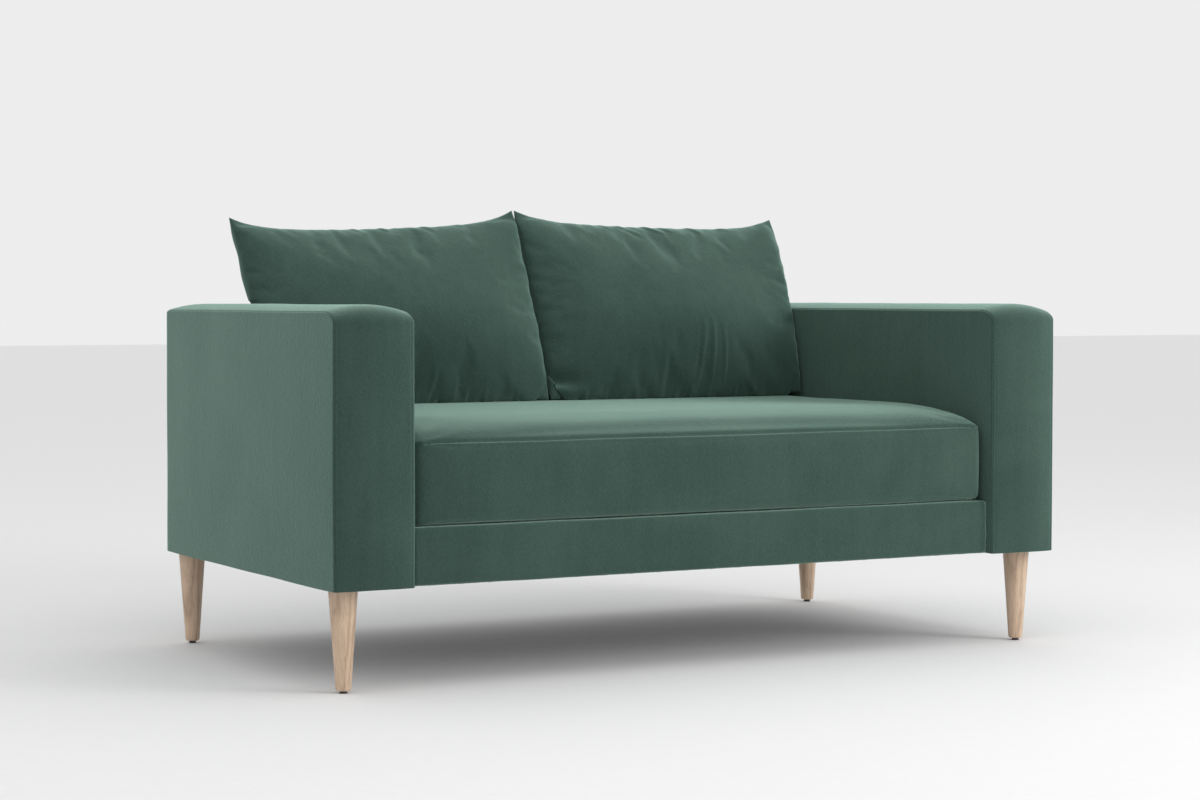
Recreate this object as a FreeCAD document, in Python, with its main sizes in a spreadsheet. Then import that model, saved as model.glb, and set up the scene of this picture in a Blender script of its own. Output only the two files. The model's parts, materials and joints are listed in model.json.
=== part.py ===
import FreeCAD, Part
import os
import re
import Sketcher

# A two-seat sofa on four turned wooden legs, in millimetres.
# X runs along the seat (left is -X, seen from the front), Y runs from the front to the back, Z is up.
# The origin is on the floor, under the middle of the sofa.
V = FreeCAD.Vector
TOUCH = 1e-4

SIZES = {
    # the upholstered body
    "overall_width": 1484,
    "overall_depth": 840,
    "arm_width": 146,
    "arm_top": 647,
    "back_top": 635,
    "backrest_depth": 60,
    "body_underside": 177,
    "corner_round": 45,
    "edge_round": 5,
    "cover": 2,
    "dust_cloth": 1,
    # foam in the arms
    "side_pad": 14,
    "front_pad": 25,
    "rear_pad": 12,
    "top_pad": 48,
    # boards in the arms
    "hardboard": 4,
    "plywood": 12,
    "post": 20,
    "arm_bottom_rail": 25,
    "arm_top_rail": 18,
    # the base between the arms
    "rail_set_back": 16,
    "rail_pad": 12,
    "base_board": 25,
    "base_rail_height": 78,
    "brace_height": 52,
    "block_side": 60,
    "block_height": 60,
    "deck_pad": 10,
    # the seat springs and their clips
    "spring_wire": 3.8,
    "spring_bar": 26,
    "spring_pitch": 23.5,
    "spring_margin": 60,
    "clip_sheet": 1.2,
    "clip_width": 24,
    "clip_lip": 7,
    "wire_room": 0.2,
    # the backrest
    "back_front_pad": 15,
    "back_top_pad": 20,
    "back_rear_pad": 6,
    "back_rail_height": 60,
    "stile_width": 50,
    "strap_width": 50,
    "strap": 1.5,
    "strap_row_pitch": 72,
    # bolts, washers and tee nuts
    "bolt": 8,
    "bolt_head": 13,
    "bolt_head_height": 5.3,
    "bolt_room": 0.6,
    "bolt_end": 3,
    "washer": 18,
    "washer_sheet": 1.6,
    "tnut_flange": 20,
    "tnut_sheet": 1.6,
    "tnut_barrel": 10.4,
    "tnut_length": 9,
    "fit_room": 0.2,
    "side_bolt_front": 160,
    "side_bolt_rear": 210,
    # the legs and their glides
    "leg_top": 50,
    "leg_toe": 26,
    "leg_edge": 2,
    "leg_from_side": 41,
    "leg_from_front": 60,
    "leg_from_rear": 55,
    "screw_depth": 30,
    "screw_point": 6,
    "glide": 13,
    "glide_height": 4.5,
    "glide_pin": 3,
    "glide_pin_length": 14,
    # the seat cushion
    "seat_thickness": 179,
    "seat_side_gap": 3,
    "seat_front_round": 36,
    "soft_gap": 0.6,
    "rest_gap": 0.3,
    # the two back cushions
    "pillow_height": 392,
    "pillow_thickness": 100,
    "pillow_round": 45,
    "pillow_tilt": 23.5,
    "pillow_side_gap": 5,
    "pillow_middle_gap": 1,
    # zips and their pulls
    "zip_tape": 24,
    "zip_tape_sheet": 0.8,
    "zip_chain": 6,
    "zip_from_end": 70,
    "seat_zip_from_end": 150,
    "pull_thickness": 3,
    "pull_width": 8,
    "pull_length": 9,
    "tab_thickness": 1.4,
    "tab_width": 6,
    "tab_length": 26,
    "tab_hole": 3,
}
SPRING_COUNT = 10
STRAP_COLUMNS = 8

doc = FreeCAD.newDocument("sofa")
sheet = doc.addObject("Spreadsheet::Sheet", "dims")
for row, (alias, size) in enumerate(SIZES.items(), 1):
    sheet.set(f"A{row}", alias)
    sheet.set(f"B{row}", str(size))
    sheet.setAlias(f"B{row}", alias)
doc.recompute()

nodes = []


# ---------------------------------------------------------------- formulas and basic shapes

def bound(formula):
    """The formula as an expression: every word that the sheet knows is read from the sheet."""
    return re.sub(r"[a-z_]+", lambda word: f"dims.{word[0]}" if word[0] in SIZES else word[0], formula)


def number(formula):
    """What the formula comes to."""
    value = sheet.evalExpression(bound(formula))
    return getattr(value, "Value", value)


def node(label, piece):
    """Give a finished sub-part its name and list it."""
    piece.Label = label
    nodes.append(piece)
    return piece


def block(name, x, y, z):
    """A square-edged block. Each axis has two formulas, for its low and its high face."""
    box = doc.addObject("Part::Box", name)
    for size, axis, (low, high) in zip(("Length", "Width", "Height"), "xyz", (x, y, z)):
        box.setExpression(size, bound(f"({high}) - ({low})"))
        box.setExpression(f".Placement.Base.{axis}", bound(low))
    return box


def cylinder(name, width, length, start, along):
    """A round bar of a width, from a starting point along a direction."""
    bar = doc.addObject("Part::Cylinder", name)
    bar.setExpression("Radius", bound(f"({width}) / 2"))
    bar.setExpression("Height", bound(length))
    bar.Placement = FreeCAD.Placement(V(), FreeCAD.Rotation(V(0, 0, 1), V(*along)))
    for axis, formula in zip("xyz", start):
        bar.setExpression(f".Placement.Base.{axis}", bound(formula))
    return bar


def group(name, pieces):
    """Separate pieces held as one object."""
    together = doc.addObject("Part::Compound", name)
    together.Links = pieces
    return together


def less(name, base, tools):
    """The base with the tools cut out of it."""
    cut = doc.addObject("Part::Cut", name)
    cut.Base = base
    cut.Tool = tools[0] if len(tools) == 1 else group(f"{name}_tools", tools)
    return cut


def joined(name, base, tool):
    """Two touching shapes made into one solid."""
    fuse = doc.addObject("Part::Fuse", name)
    fuse.Base = base
    fuse.Tool = tool
    fuse.Refine = True
    return fuse


def lies_at(edge, axis, place):
    """Whether the whole edge lies in the plane at a place on an axis."""
    low = getattr(edge.BoundBox, axis + "Min")
    high = getattr(edge.BoundBox, axis + "Max")
    return abs(low - place) < TOUCH and abs(high - place) < TOUCH


def runs_along(edge, axis):
    """Whether the edge is a straight one that runs along an axis."""
    ends = [vertex.Point for vertex in edge.Vertexes]
    across = [other for other in "xyz" if other != axis]
    return len(ends) == 2 and all(abs(getattr(ends[0], o) - getattr(ends[1], o)) < TOUCH for o in across)


def rounded(name, base, radius, wanted):
    """The base with a radius on each edge that is wanted."""
    doc.recompute()
    size = number(radius)
    fillet = doc.addObject("Part::Fillet", name)
    fillet.Base = base
    fillet.Edges = [(index, size, size) for index, edge in enumerate(base.Shape.Edges, 1) if wanted(edge)]
    return fillet


def top_rounded(name, base, radius):
    """The base with its two upper edges along X rounded, as the corners of a side panel are."""
    doc.recompute()
    top = base.Shape.BoundBox.ZMax
    return rounded(name, base, radius, lambda edge: lies_at(edge, "Z", top) and runs_along(edge, "x"))


def outline(body, plane, corners, lift=None):
    """A closed sketch of straight sides, with each corner held by two formulas."""
    sketch = body.newObject("Sketcher::SketchObject", f"{body.Name}_outline")
    origin_plane = [part for part in body.Origin.OriginFeatures if part.Role == plane][0]
    sketch.AttachmentSupport = [(origin_plane, "")]
    sketch.MapMode = "FlatFace"
    if lift:
        sketch.setExpression(".AttachmentOffset.Base.z", bound(lift))
    points = [V(number(across), number(up), 0) for across, up in corners]
    following = points[1:] + points[:1]
    for point, next_point in zip(points, following):
        sketch.addGeometry(Part.LineSegment(point, next_point))
    for side in range(len(points)):
        sketch.addConstraint(Sketcher.Constraint("Coincident", side, 2, (side + 1) % len(points), 1))
    for side, formulas in enumerate(corners):
        for kind, formula in zip(("DistanceX", "DistanceY"), formulas):
            held = sketch.addConstraint(Sketcher.Constraint(kind, -1, 1, side, 1, number(formula)))
            sketch.setExpression(f"Constraints[{held}]", bound(formula))
    return sketch


def turned(name, corners):
    """A body turned about Z from a half outline of (radius, height) corners."""
    body = doc.addObject("PartDesign::Body", name)
    sketch = outline(body, "XZ_Plane", corners)
    turn = body.newObject("PartDesign::Revolution", f"{name}_turn")
    turn.Profile = sketch
    turn.ReferenceAxis = (sketch, ["V_Axis"])
    turn.Angle = 360
    return body


def copy_at(name, source, place, along=(0, 0, 1)):
    """A copy of a turned piece, with its axis along a direction and its zero at a place."""
    link = doc.addObject("App::Link", name)
    link.LinkedObject = source
    link.Placement = FreeCAD.Placement(V(), FreeCAD.Rotation(V(0, 0, 1), V(*along)))
    for axis, formula in zip("xyz", place):
        link.setExpression(f".Placement.Base.{axis}", bound(formula))
    return link


# ---------------------------------------------------------------- places that several pieces share

FRONT = "(-overall_depth / 2)"
REAR = "(overall_depth / 2)"
FRAME_BOTTOM = "(body_underside + dust_cloth)"
ARM_INSIDE = "(overall_width / 2 - arm_width)"
BACK_FRONT = f"({REAR} - backrest_depth)"
RAIL_FRONT = f"({FRONT} + rail_set_back + cover + rail_pad)"
RAIL_BACK = f"({RAIL_FRONT} + base_board)"
RAIL_TOP = f"({FRAME_BOTTOM} + base_rail_height)"
BOLT_HEIGHT = f"({FRAME_BOTTOM} + base_rail_height / 2)"
DECK_BOTTOM = f"({RAIL_TOP} + 2 * clip_sheet + spring_wire + wire_room)"
DECK_CLOTH = f"({DECK_BOTTOM} + deck_pad)"
DECK_TOP = f"({DECK_CLOTH} + cover)"
SIDES = {"left": -1, "right": 1}
ENDS = {"front": f"({FRONT} + leg_from_front)", "rear": f"({REAR} - leg_from_rear)"}
SIDE_BOLTS = {"front": f"({FRONT} + side_bolt_front)", "rear": f"({REAR} - side_bolt_rear)"}
BACK_HALF = f"({ARM_INSIDE} - cover)"
BACK_BOLTS = {f"gap_{gap}": f"({BACK_HALF} * {2 * gap / STRAP_COLUMNS})" for gap in (-3, -1, 1, 3)}


def arm_span(side, outer, inner):
    """The X faces of a piece of an arm, from its depths below the arm's outer face."""
    if side == "left":
        return f"{outer} - overall_width / 2", f"{inner} - overall_width / 2"
    return f"overall_width / 2 - {inner}", f"overall_width / 2 - {outer}"


# ---------------------------------------------------------------- arms

PAD_DEPTH = "(cover + side_pad)"
PANEL_DEPTH = "(cover + side_pad + hardboard)"
PLYWOOD_DEPTH = "(arm_width - cover - side_pad - plywood)"
INNER_PAD_DEPTH = "(arm_width - cover - side_pad)"
LINING_DEPTH = "(arm_width - cover)"
ARM_FRAME_FRONT = f"({FRONT} + cover + front_pad)"
ARM_FRAME_REAR = f"({REAR} - cover - rear_pad)"
ARM_FRAME_TOP = "(arm_top - cover - top_pad)"
LEG_BOLT_X = {"left": "(leg_from_side - overall_width / 2)", "right": "(overall_width / 2 - leg_from_side)"}


def side_bolt_holes(name, side, depth, length, width):
    """Two holes from a depth towards the arm's outer face, for the bolts that hold the arm on."""
    start = arm_span(side, depth, depth)[0]
    return [cylinder(f"{name}_hole_{end}", width, length, (start, y, BOLT_HEIGHT), (SIDES[side], 0, 0))
            for end, y in SIDE_BOLTS.items()]


def arm_cover(side):
    """The sewn cover of an arm: a shell that is open underneath."""
    name = f"{side}_arm_cover"
    lining_x = arm_span(side, "cover", LINING_DEPTH)
    outside = block(f"{name}_outside", arm_span(side, "0", "arm_width"), (FRONT, REAR),
                    ("body_underside", "arm_top"))
    outside = top_rounded(f"{name}_corners", outside, "corner_round")
    faces = [number(x) for x in arm_span(side, "0", "arm_width")]
    bottom = number("body_underside")
    outside = rounded(f"{name}_edges", outside, "edge_round",
                      lambda edge: any(lies_at(edge, "X", face) for face in faces)
                      and not lies_at(edge, "Z", bottom))
    inside = block(f"{name}_inside", lining_x, (f"{FRONT} + cover", f"{REAR} - cover"),
                   ("0", "arm_top - cover"))
    inside = top_rounded(f"{name}_inside_corners", inside, "corner_round - cover")
    holes = side_bolt_holes(name, side, "arm_width", "cover + side_pad", "bolt + bolt_room")
    return node(name, less(name, outside, [inside] + holes))


def arm_pads(side):
    """The foam on the two sides of an arm, and round its front, top and rear."""
    whole_y = (f"{FRONT} + cover", f"{REAR} - cover")
    whole_z = (FRAME_BOTTOM, "arm_top - cover")
    outer = block(f"{side}_outer_pad_block", arm_span(side, "cover", PAD_DEPTH), whole_y, whole_z)
    node(f"{side}_arm_outer_pad", top_rounded(f"{side}_arm_outer_pad", outer, "corner_round - cover"))
    inner = block(f"{side}_inner_pad_block", arm_span(side, INNER_PAD_DEPTH, LINING_DEPTH), whole_y, whole_z)
    inner = top_rounded(f"{side}_inner_pad_round", inner, "corner_round - cover")
    holes = side_bolt_holes(f"{side}_inner_pad", side, "arm_width", "cover + side_pad + cover",
                            "bolt + bolt_room")
    node(f"{side}_arm_inner_pad", less(f"{side}_arm_inner_pad", inner, holes))

    middle = arm_span(side, PAD_DEPTH, INNER_PAD_DEPTH)
    upright = (FRAME_BOTTOM, ARM_FRAME_TOP)
    front = block(f"{side}_front_pad", middle, (whole_y[0], ARM_FRAME_FRONT), upright)
    rear = block(f"{side}_rear_pad", middle, (ARM_FRAME_REAR, whole_y[1]), upright)
    top = block(f"{side}_top_pad_block", middle, whole_y, (ARM_FRAME_TOP, whole_z[1]))
    top = top_rounded(f"{side}_top_pad", top, "corner_round - cover")
    node(f"{side}_arm_band_pads", group(f"{side}_arm_band_pads", [front, top, rear]))


def arm_frame(side):
    """The boards of an arm: a panel on each side, two posts, and a rail above and below."""
    frame_y = (ARM_FRAME_FRONT, ARM_FRAME_REAR)
    frame_z = (FRAME_BOTTOM, ARM_FRAME_TOP)
    node(f"{side}_arm_outer_panel",
         block(f"{side}_arm_outer_panel", arm_span(side, PAD_DEPTH, PANEL_DEPTH), frame_y, frame_z))
    plywood = block(f"{side}_inner_panel_block", arm_span(side, PLYWOOD_DEPTH, INNER_PAD_DEPTH),
                    frame_y, frame_z)
    holes = side_bolt_holes(f"{side}_inner_panel", side, "arm_width", "arm_width", "tnut_barrel + fit_room")
    node(f"{side}_arm_inner_panel", less(f"{side}_arm_inner_panel", plywood, holes))

    middle = arm_span(side, PANEL_DEPTH, PLYWOOD_DEPTH)
    rail_top = f"({FRAME_BOTTOM} + arm_bottom_rail)"
    rail_under = f"({ARM_FRAME_TOP} - arm_top_rail)"
    bottom = block(f"{side}_bottom_rail_block", middle, frame_y, (FRAME_BOTTOM, rail_top))
    holes = [cylinder(f"{side}_{end}_tnut_hole", "tnut_barrel + fit_room", "arm_bottom_rail",
                      (LEG_BOLT_X[side], y, FRAME_BOTTOM), (0, 0, 1)) for end, y in ENDS.items()]
    bottom = less(f"{side}_bottom_rail", bottom, holes)
    top = block(f"{side}_top_rail", middle, frame_y, (rail_under, ARM_FRAME_TOP))
    node(f"{side}_arm_rails", group(f"{side}_arm_rails", [bottom, top]))
    front = block(f"{side}_front_post", middle, (ARM_FRAME_FRONT, f"{ARM_FRAME_FRONT} + post"),
                  (rail_top, rail_under))
    rear = block(f"{side}_rear_post", middle, (f"{ARM_FRAME_REAR} - post", ARM_FRAME_REAR),
                 (rail_top, rail_under))
    node(f"{side}_arm_posts", group(f"{side}_arm_posts", [front, rear]))

    cloth = block(f"{side}_dust_cloth", arm_span(side, "cover", LINING_DEPTH),
                  (f"{FRONT} + cover", f"{REAR} - cover"), ("body_underside", FRAME_BOTTOM))
    holes = [cylinder(f"{side}_{end}_dust_hole", "bolt + bolt_room", "dust_cloth",
                      (LEG_BOLT_X[side], y, "body_underside"), (0, 0, 1)) for end, y in ENDS.items()]
    node(f"{side}_arm_dust_cover", less(f"{side}_arm_dust_cover", cloth, holes))


for side in SIDES:
    arm_cover(side)
    arm_pads(side)
    arm_frame(side)


# ---------------------------------------------------------------- base between the arms

BASE_X = (f"-{ARM_INSIDE}", ARM_INSIDE)
RAIL_Z = (FRAME_BOTTOM, RAIL_TOP)
REAR_RAIL_FRONT = f"({BACK_FRONT} - base_board)"
BETWEEN_RAILS = (RAIL_BACK, REAR_RAIL_FRONT)
SIDE_RAIL_INSIDE = f"({ARM_INSIDE} - base_board)"


def base_frame():
    """Four rails round the seat, a brace across the middle and a block in each corner."""
    node("base_front_rail", block("base_front_rail", BASE_X, (RAIL_FRONT, RAIL_BACK), RAIL_Z))
    rear = block("rear_rail_block", BASE_X, (REAR_RAIL_FRONT, BACK_FRONT), RAIL_Z)
    holes = [cylinder(f"rear_rail_hole_{place}", "bolt + bolt_room", "base_board",
                      (x, REAR_RAIL_FRONT, BOLT_HEIGHT), (0, 1, 0)) for place, x in BACK_BOLTS.items()]
    node("base_rear_rail", less("base_rear_rail", rear, holes))

    rails = []
    for side, sign in SIDES.items():
        x = (f"-{ARM_INSIDE}", f"-{SIDE_RAIL_INSIDE}") if sign < 0 else (SIDE_RAIL_INSIDE, ARM_INSIDE)
        rail = block(f"{side}_side_rail_block", x, BETWEEN_RAILS, RAIL_Z)
        holes = side_bolt_holes(f"{side}_side_rail", side, "(arm_width + base_board)", "base_board",
                                "bolt + bolt_room")
        rails.append(less(f"{side}_side_rail", rail, holes))
    node("base_side_rails", group("base_side_rails", rails))
    node("base_center_brace", block("base_center_brace", ("-base_board / 2", "base_board / 2"), BETWEEN_RAILS,
                                    (FRAME_BOTTOM, f"{FRAME_BOTTOM} + brace_height")))
    node("base_corner_blocks", group("base_corner_blocks", [corner_block(side, end) for side in SIDES
                                                            for end in ENDS]))


def corner_block(side, end):
    """A three-cornered block glued between a side rail and the front or the rear rail."""
    body = doc.addObject("PartDesign::Body", f"{side}_{end}_block")
    x = f"{SIDES[side]} * {SIDE_RAIL_INSIDE}"
    y, inward = (RAIL_BACK, 1) if end == "front" else (REAR_RAIL_FRONT, -1)
    corners = [(x, y), (f"{x} - {SIDES[side]} * block_side", y), (x, f"{y} + {inward} * block_side")]
    pad = body.newObject("PartDesign::Pad", f"{body.Name}_pad")
    pad.Profile = outline(body, "XY_Plane", corners, FRAME_BOTTOM)
    pad.setExpression("Length", bound("block_height"))
    return body


def sinuous_spring(x):
    """A flat zigzag spring of round wire, from the front rail to the rear rail."""
    wire = number("spring_wire") / 2
    half_bar = number("spring_bar") / 2
    start = number(f"{RAIL_FRONT} + base_board / 2")
    length = number(f"{REAR_RAIL_FRONT} + base_board / 2") - start
    bends = 2 * round(length / number("spring_pitch") / 2)
    pitch = length / bends
    height = number(f"{RAIL_TOP} + clip_sheet + (spring_wire + wire_room) / 2")
    way = 1
    y = start
    path = [Part.LineSegment(V(x - half_bar, y, height), V(x + half_bar, y, height)).toShape()]
    for _ in range(bends):
        turn = x + way * half_bar
        middle = V(turn + way * pitch / 2, y + pitch / 2, height)
        path.append(Part.Arc(V(turn, y, height), middle, V(turn, y + pitch, height)).toShape())
        y += pitch
        way = -way
        path.append(Part.LineSegment(V(turn, y, height), V(turn + 2 * way * half_bar, y, height)).toShape())
    section = Part.Circle(V(x - half_bar, start, height), V(1, 0, 0), wire).toShape()
    return Part.Wire(path).makePipeShell([Part.Wire([section])], True, False)


def seat_springs():
    """The springs side by side, and the clip that holds each end to its rail."""
    spread = number(f"{SIDE_RAIL_INSIDE} - spring_margin")
    places = [spread * (2 * index / (SPRING_COUNT - 1) - 1) for index in range(SPRING_COUNT)]
    springs = []
    clips = []
    for index, x in enumerate(places, 1):
        spring = doc.addObject("Part::Feature", f"spring_{index}")
        spring.Shape = sinuous_spring(x)
        springs.append(spring)
        for end, y, inward in (("front", f"({RAIL_FRONT} + base_board / 2)", 1),
                               ("rear", f"({REAR_RAIL_FRONT} + base_board / 2)", -1)):
            clips.append(spring_clip(f"clip_{end}_{index}", x, y, inward))
    node("seat_springs", group("seat_springs", springs))
    node("spring_clips", group("spring_clips", clips))


def spring_clip(name, x, y, inward):
    """A folded strip of steel, open towards the spring, round the spring's end bar."""
    back = f"({y} - {inward} * (spring_wire / 2 + wire_room + clip_sheet))"
    lip = f"({y} + {inward} * clip_lip)"
    wall = f"({y} - {inward} * (spring_wire / 2 + wire_room))"
    past = f"({lip} + {inward} * clip_sheet)"
    across = (f"{x} - clip_width / 2", f"{x} + clip_width / 2")
    spans = [(back, lip), (wall, past)]
    if inward < 0:
        spans = [(far, near) for near, far in spans]
    strip = block(f"{name}_strip", across, spans[0], (RAIL_TOP, DECK_BOTTOM))
    slot = block(f"{name}_slot", across, spans[1],
                 (f"{RAIL_TOP} + clip_sheet", f"{DECK_BOTTOM} - clip_sheet"))
    return less(name, strip, [slot])


def seat_platform():
    """What lies over the springs and hides the front rail, and the cloth under the frame."""
    pad_front = f"({RAIL_FRONT} - rail_pad)"
    node("deck_pad", block("deck_pad", BASE_X, (RAIL_FRONT, BACK_FRONT), (DECK_BOTTOM, DECK_CLOTH)))
    node("deck_cloth", block("deck_cloth", BASE_X, (RAIL_BACK, BACK_FRONT), (DECK_CLOTH, DECK_TOP)))
    node("front_rail_pad", block("front_rail_pad", BASE_X, (pad_front, RAIL_FRONT),
                                 (FRAME_BOTTOM, DECK_CLOTH)))
    face = block("front_rail_face", BASE_X, (f"{pad_front} - cover", pad_front), ("body_underside", DECK_TOP))
    lap = block("front_rail_lap", BASE_X, (pad_front, RAIL_BACK), (DECK_CLOTH, DECK_TOP))
    node("front_rail_cover", joined("front_rail_cover", face, lap))
    node("base_dust_cover", block("base_dust_cover", BASE_X, (pad_front, BACK_FRONT),
                                  ("body_underside", FRAME_BOTTOM)))


base_frame()
seat_springs()
seat_platform()


# ---------------------------------------------------------------- backrest

BACK_LINING = f"({BACK_FRONT} + cover)"
STRAP_FRONT = f"({BACK_LINING} + back_front_pad)"
BACK_FRAME_FRONT = f"({STRAP_FRONT} + 2 * strap)"
BACK_FRAME_REAR = f"({REAR} - cover - back_rear_pad)"
BACK_FRAME_TOP = "(back_top - cover - back_top_pad)"
BACK_X = (f"-{BACK_HALF}", BACK_HALF)


def back_bolt_holes(name, start, length, width):
    """Holes along Y for the bolts that hold the backrest to the base, between the straps of webbing."""
    return [cylinder(f"{name}_hole_{place}", width, length, (x, start, BOLT_HEIGHT), (0, 1, 0))
            for place, x in BACK_BOLTS.items()]


def back_upholstery():
    """The cover, the foam and the cloth under the backrest."""
    outside = block("back_outside", BASE_X, (BACK_FRONT, REAR), ("body_underside", "back_top"))
    outside = top_rounded("back_outside_round", outside, "edge_round")
    inside = block("back_inside", BACK_X, (BACK_LINING, f"{REAR} - cover"), ("0", "back_top - cover"))
    holes = back_bolt_holes("back_cover", BACK_FRONT, "cover", "bolt + bolt_room")
    node("back_cover", less("back_cover", outside, [inside] + holes))

    front = block("back_front_pad_block", BACK_X, (BACK_LINING, STRAP_FRONT), (FRAME_BOTTOM, BACK_FRAME_TOP))
    holes = back_bolt_holes("back_front_pad", BACK_LINING, "back_front_pad", "bolt + bolt_room")
    node("back_front_pad", less("back_front_pad", front, holes))
    node("back_rear_pad", block("back_rear_pad", BACK_X, (BACK_FRAME_REAR, f"{REAR} - cover"),
                                (FRAME_BOTTOM, BACK_FRAME_TOP)))
    top = block("back_top_pad_block", BACK_X, (BACK_LINING, f"{REAR} - cover"),
                (BACK_FRAME_TOP, "back_top - cover"))
    node("back_top_pad", top)
    node("back_dust_cover", block("back_dust_cover", BACK_X, (BACK_LINING, f"{REAR} - cover"),
                                  ("body_underside", FRAME_BOTTOM)))


def back_frame():
    """Two rails and three stiles, with straps of webbing stapled across their front."""
    frame_y = (BACK_FRAME_FRONT, BACK_FRAME_REAR)
    under_top = f"({BACK_FRAME_TOP} - back_rail_height)"
    node("back_top_rail", block("back_top_rail", BACK_X, frame_y, (under_top, BACK_FRAME_TOP)))
    bottom = block("back_bottom_rail_block", BACK_X, frame_y, RAIL_Z)
    holes = back_bolt_holes("back_bottom_rail", BACK_FRAME_FRONT, "backrest_depth", "tnut_barrel + fit_room")
    seats = back_bolt_holes("tnut_seat", f"{BACK_FRAME_REAR} - tnut_sheet", "tnut_sheet",
                            "tnut_flange + fit_room")
    node("back_bottom_rail", less("back_bottom_rail", bottom, holes + seats))
    stiles = [block(f"stile_{index}", x, frame_y, (RAIL_TOP, under_top)) for index, x in enumerate((
        (f"-{BACK_HALF}", f"stile_width - {BACK_HALF}"),
        ("-stile_width / 2", "stile_width / 2"),
        (f"{BACK_HALF} - stile_width", BACK_HALF)), 1)]
    node("back_stiles", group("back_stiles", stiles))

    straps = []
    column_y = (f"{STRAP_FRONT} + strap", BACK_FRAME_FRONT)
    for column in range(STRAP_COLUMNS):
        x = f"{BACK_HALF} * {(2 * column + 1) / STRAP_COLUMNS - 1}"
        column_x = (f"{x} - strap_width / 2", f"{x} + strap_width / 2")
        straps.append(block(f"strap_column_{column + 1}", column_x, column_y, (FRAME_BOTTOM, BACK_FRAME_TOP)))
    clear = number(f"{under_top} - {RAIL_TOP}")
    gaps = max(2, int(clear / number("strap_row_pitch")))
    for row in range(1, gaps):
        z = f"({RAIL_TOP} + ({under_top} - {RAIL_TOP}) * {row / gaps})"
        straps.append(block(f"strap_row_{row}", BACK_X, (STRAP_FRONT, f"{STRAP_FRONT} + strap"),
                            (f"{z} - strap_width / 2", f"{z} + strap_width / 2")))
    node("back_webbing", group("back_webbing", straps))


back_upholstery()
back_frame()


# ---------------------------------------------------------------- bolts, washers and tee nuts

ARM_BOLT_LENGTH = "(base_board + cover + side_pad + plywood + tnut_sheet + bolt_end)"
BACK_BOLT_LENGTH = f"({BACK_FRAME_REAR} - {REAR_RAIL_FRONT})"


def hex_bolt(name, length):
    """A hexagon-headed bolt: its head lies below its washer, and its shank reaches a length above zero."""
    head = doc.addObject("Part::Prism", f"{name}_head")
    head.Polygon = 6
    head.setExpression("Circumradius", bound("bolt_head / 2 / cos(30)"))
    head.setExpression("Height", bound("bolt_head_height"))
    head.setExpression(".Placement.Base.z", bound("-bolt_head_height - washer_sheet"))
    shank = cylinder(f"{name}_shank", "bolt", f"{length} + washer_sheet",
                     ("0", "0", "-washer_sheet"), (0, 0, 1))
    return joined(name, head, shank)


def fasteners():
    """Bolts through the base into the arms and the backrest, each with its washer and tee nut."""
    arm_bolt = hex_bolt("arm_bolt", ARM_BOLT_LENGTH)
    back_bolt = hex_bolt("back_bolt", BACK_BOLT_LENGTH)
    bore = "(bolt + fit_room) / 2"
    washer = turned("washer_ring", [(bore, "-washer_sheet"), ("washer / 2", "-washer_sheet"),
                                    ("washer / 2", "0"), (bore, "0")])
    tnut = turned("tnut_turning", [(bore, "-tnut_length"), ("tnut_barrel / 2", "-tnut_length"),
                                   ("tnut_barrel / 2", "0"), ("tnut_flange / 2", "0"),
                                   ("tnut_flange / 2", "tnut_sheet"), (bore, "tnut_sheet")])
    screw = turned("hanger_screw", [("0", "-screw_depth"), ("bolt / 2", "screw_point - screw_depth"),
                                    ("bolt / 2", "dust_cloth + arm_bottom_rail + tnut_sheet"),
                                    ("0", "dust_cloth + arm_bottom_rail + tnut_sheet")])
    bolts = []
    washers = []
    tnuts = []
    screws = []
    for side, sign in SIDES.items():
        for end, y in SIDE_BOLTS.items():
            x = f"{sign} * {SIDE_RAIL_INSIDE}"
            bolts.append(copy_at(f"bolt_{side}_{end}", arm_bolt, (x, y, BOLT_HEIGHT), (sign, 0, 0)))
            washers.append(copy_at(f"washer_{side}_{end}", washer, (x, y, BOLT_HEIGHT), (sign, 0, 0)))
            x = f"{sign} * (overall_width / 2 - {PLYWOOD_DEPTH})"
            tnuts.append(copy_at(f"tnut_{side}_{end}", tnut, (x, y, BOLT_HEIGHT), (sign, 0, 0)))
        for end, y in ENDS.items():
            x = LEG_BOLT_X[side]
            screws.append(copy_at(f"screw_{side}_{end}", screw, (x, y, "body_underside")))
            tnuts.append(copy_at(f"leg_tnut_{side}_{end}", tnut, (x, y, f"{FRAME_BOTTOM} + arm_bottom_rail")))
    for place, x in BACK_BOLTS.items():
        bolts.append(copy_at(f"bolt_back_{place}", back_bolt, (x, REAR_RAIL_FRONT, BOLT_HEIGHT), (0, 1, 0)))
        washers.append(copy_at(f"washer_back_{place}", washer, (x, REAR_RAIL_FRONT, BOLT_HEIGHT), (0, 1, 0)))
        tnuts.append(copy_at(f"tnut_back_{place}", tnut,
                             (x, f"{BACK_FRAME_REAR} - tnut_sheet", BOLT_HEIGHT), (0, 1, 0)))
    node("frame_bolts", group("frame_bolts", bolts))
    node("washers", group("washers", washers))
    node("tee_nuts", group("tee_nuts", tnuts))
    node("leg_hanger_screws", group("leg_hanger_screws", screws))


fasteners()


# ---------------------------------------------------------------- legs and glides

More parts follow.
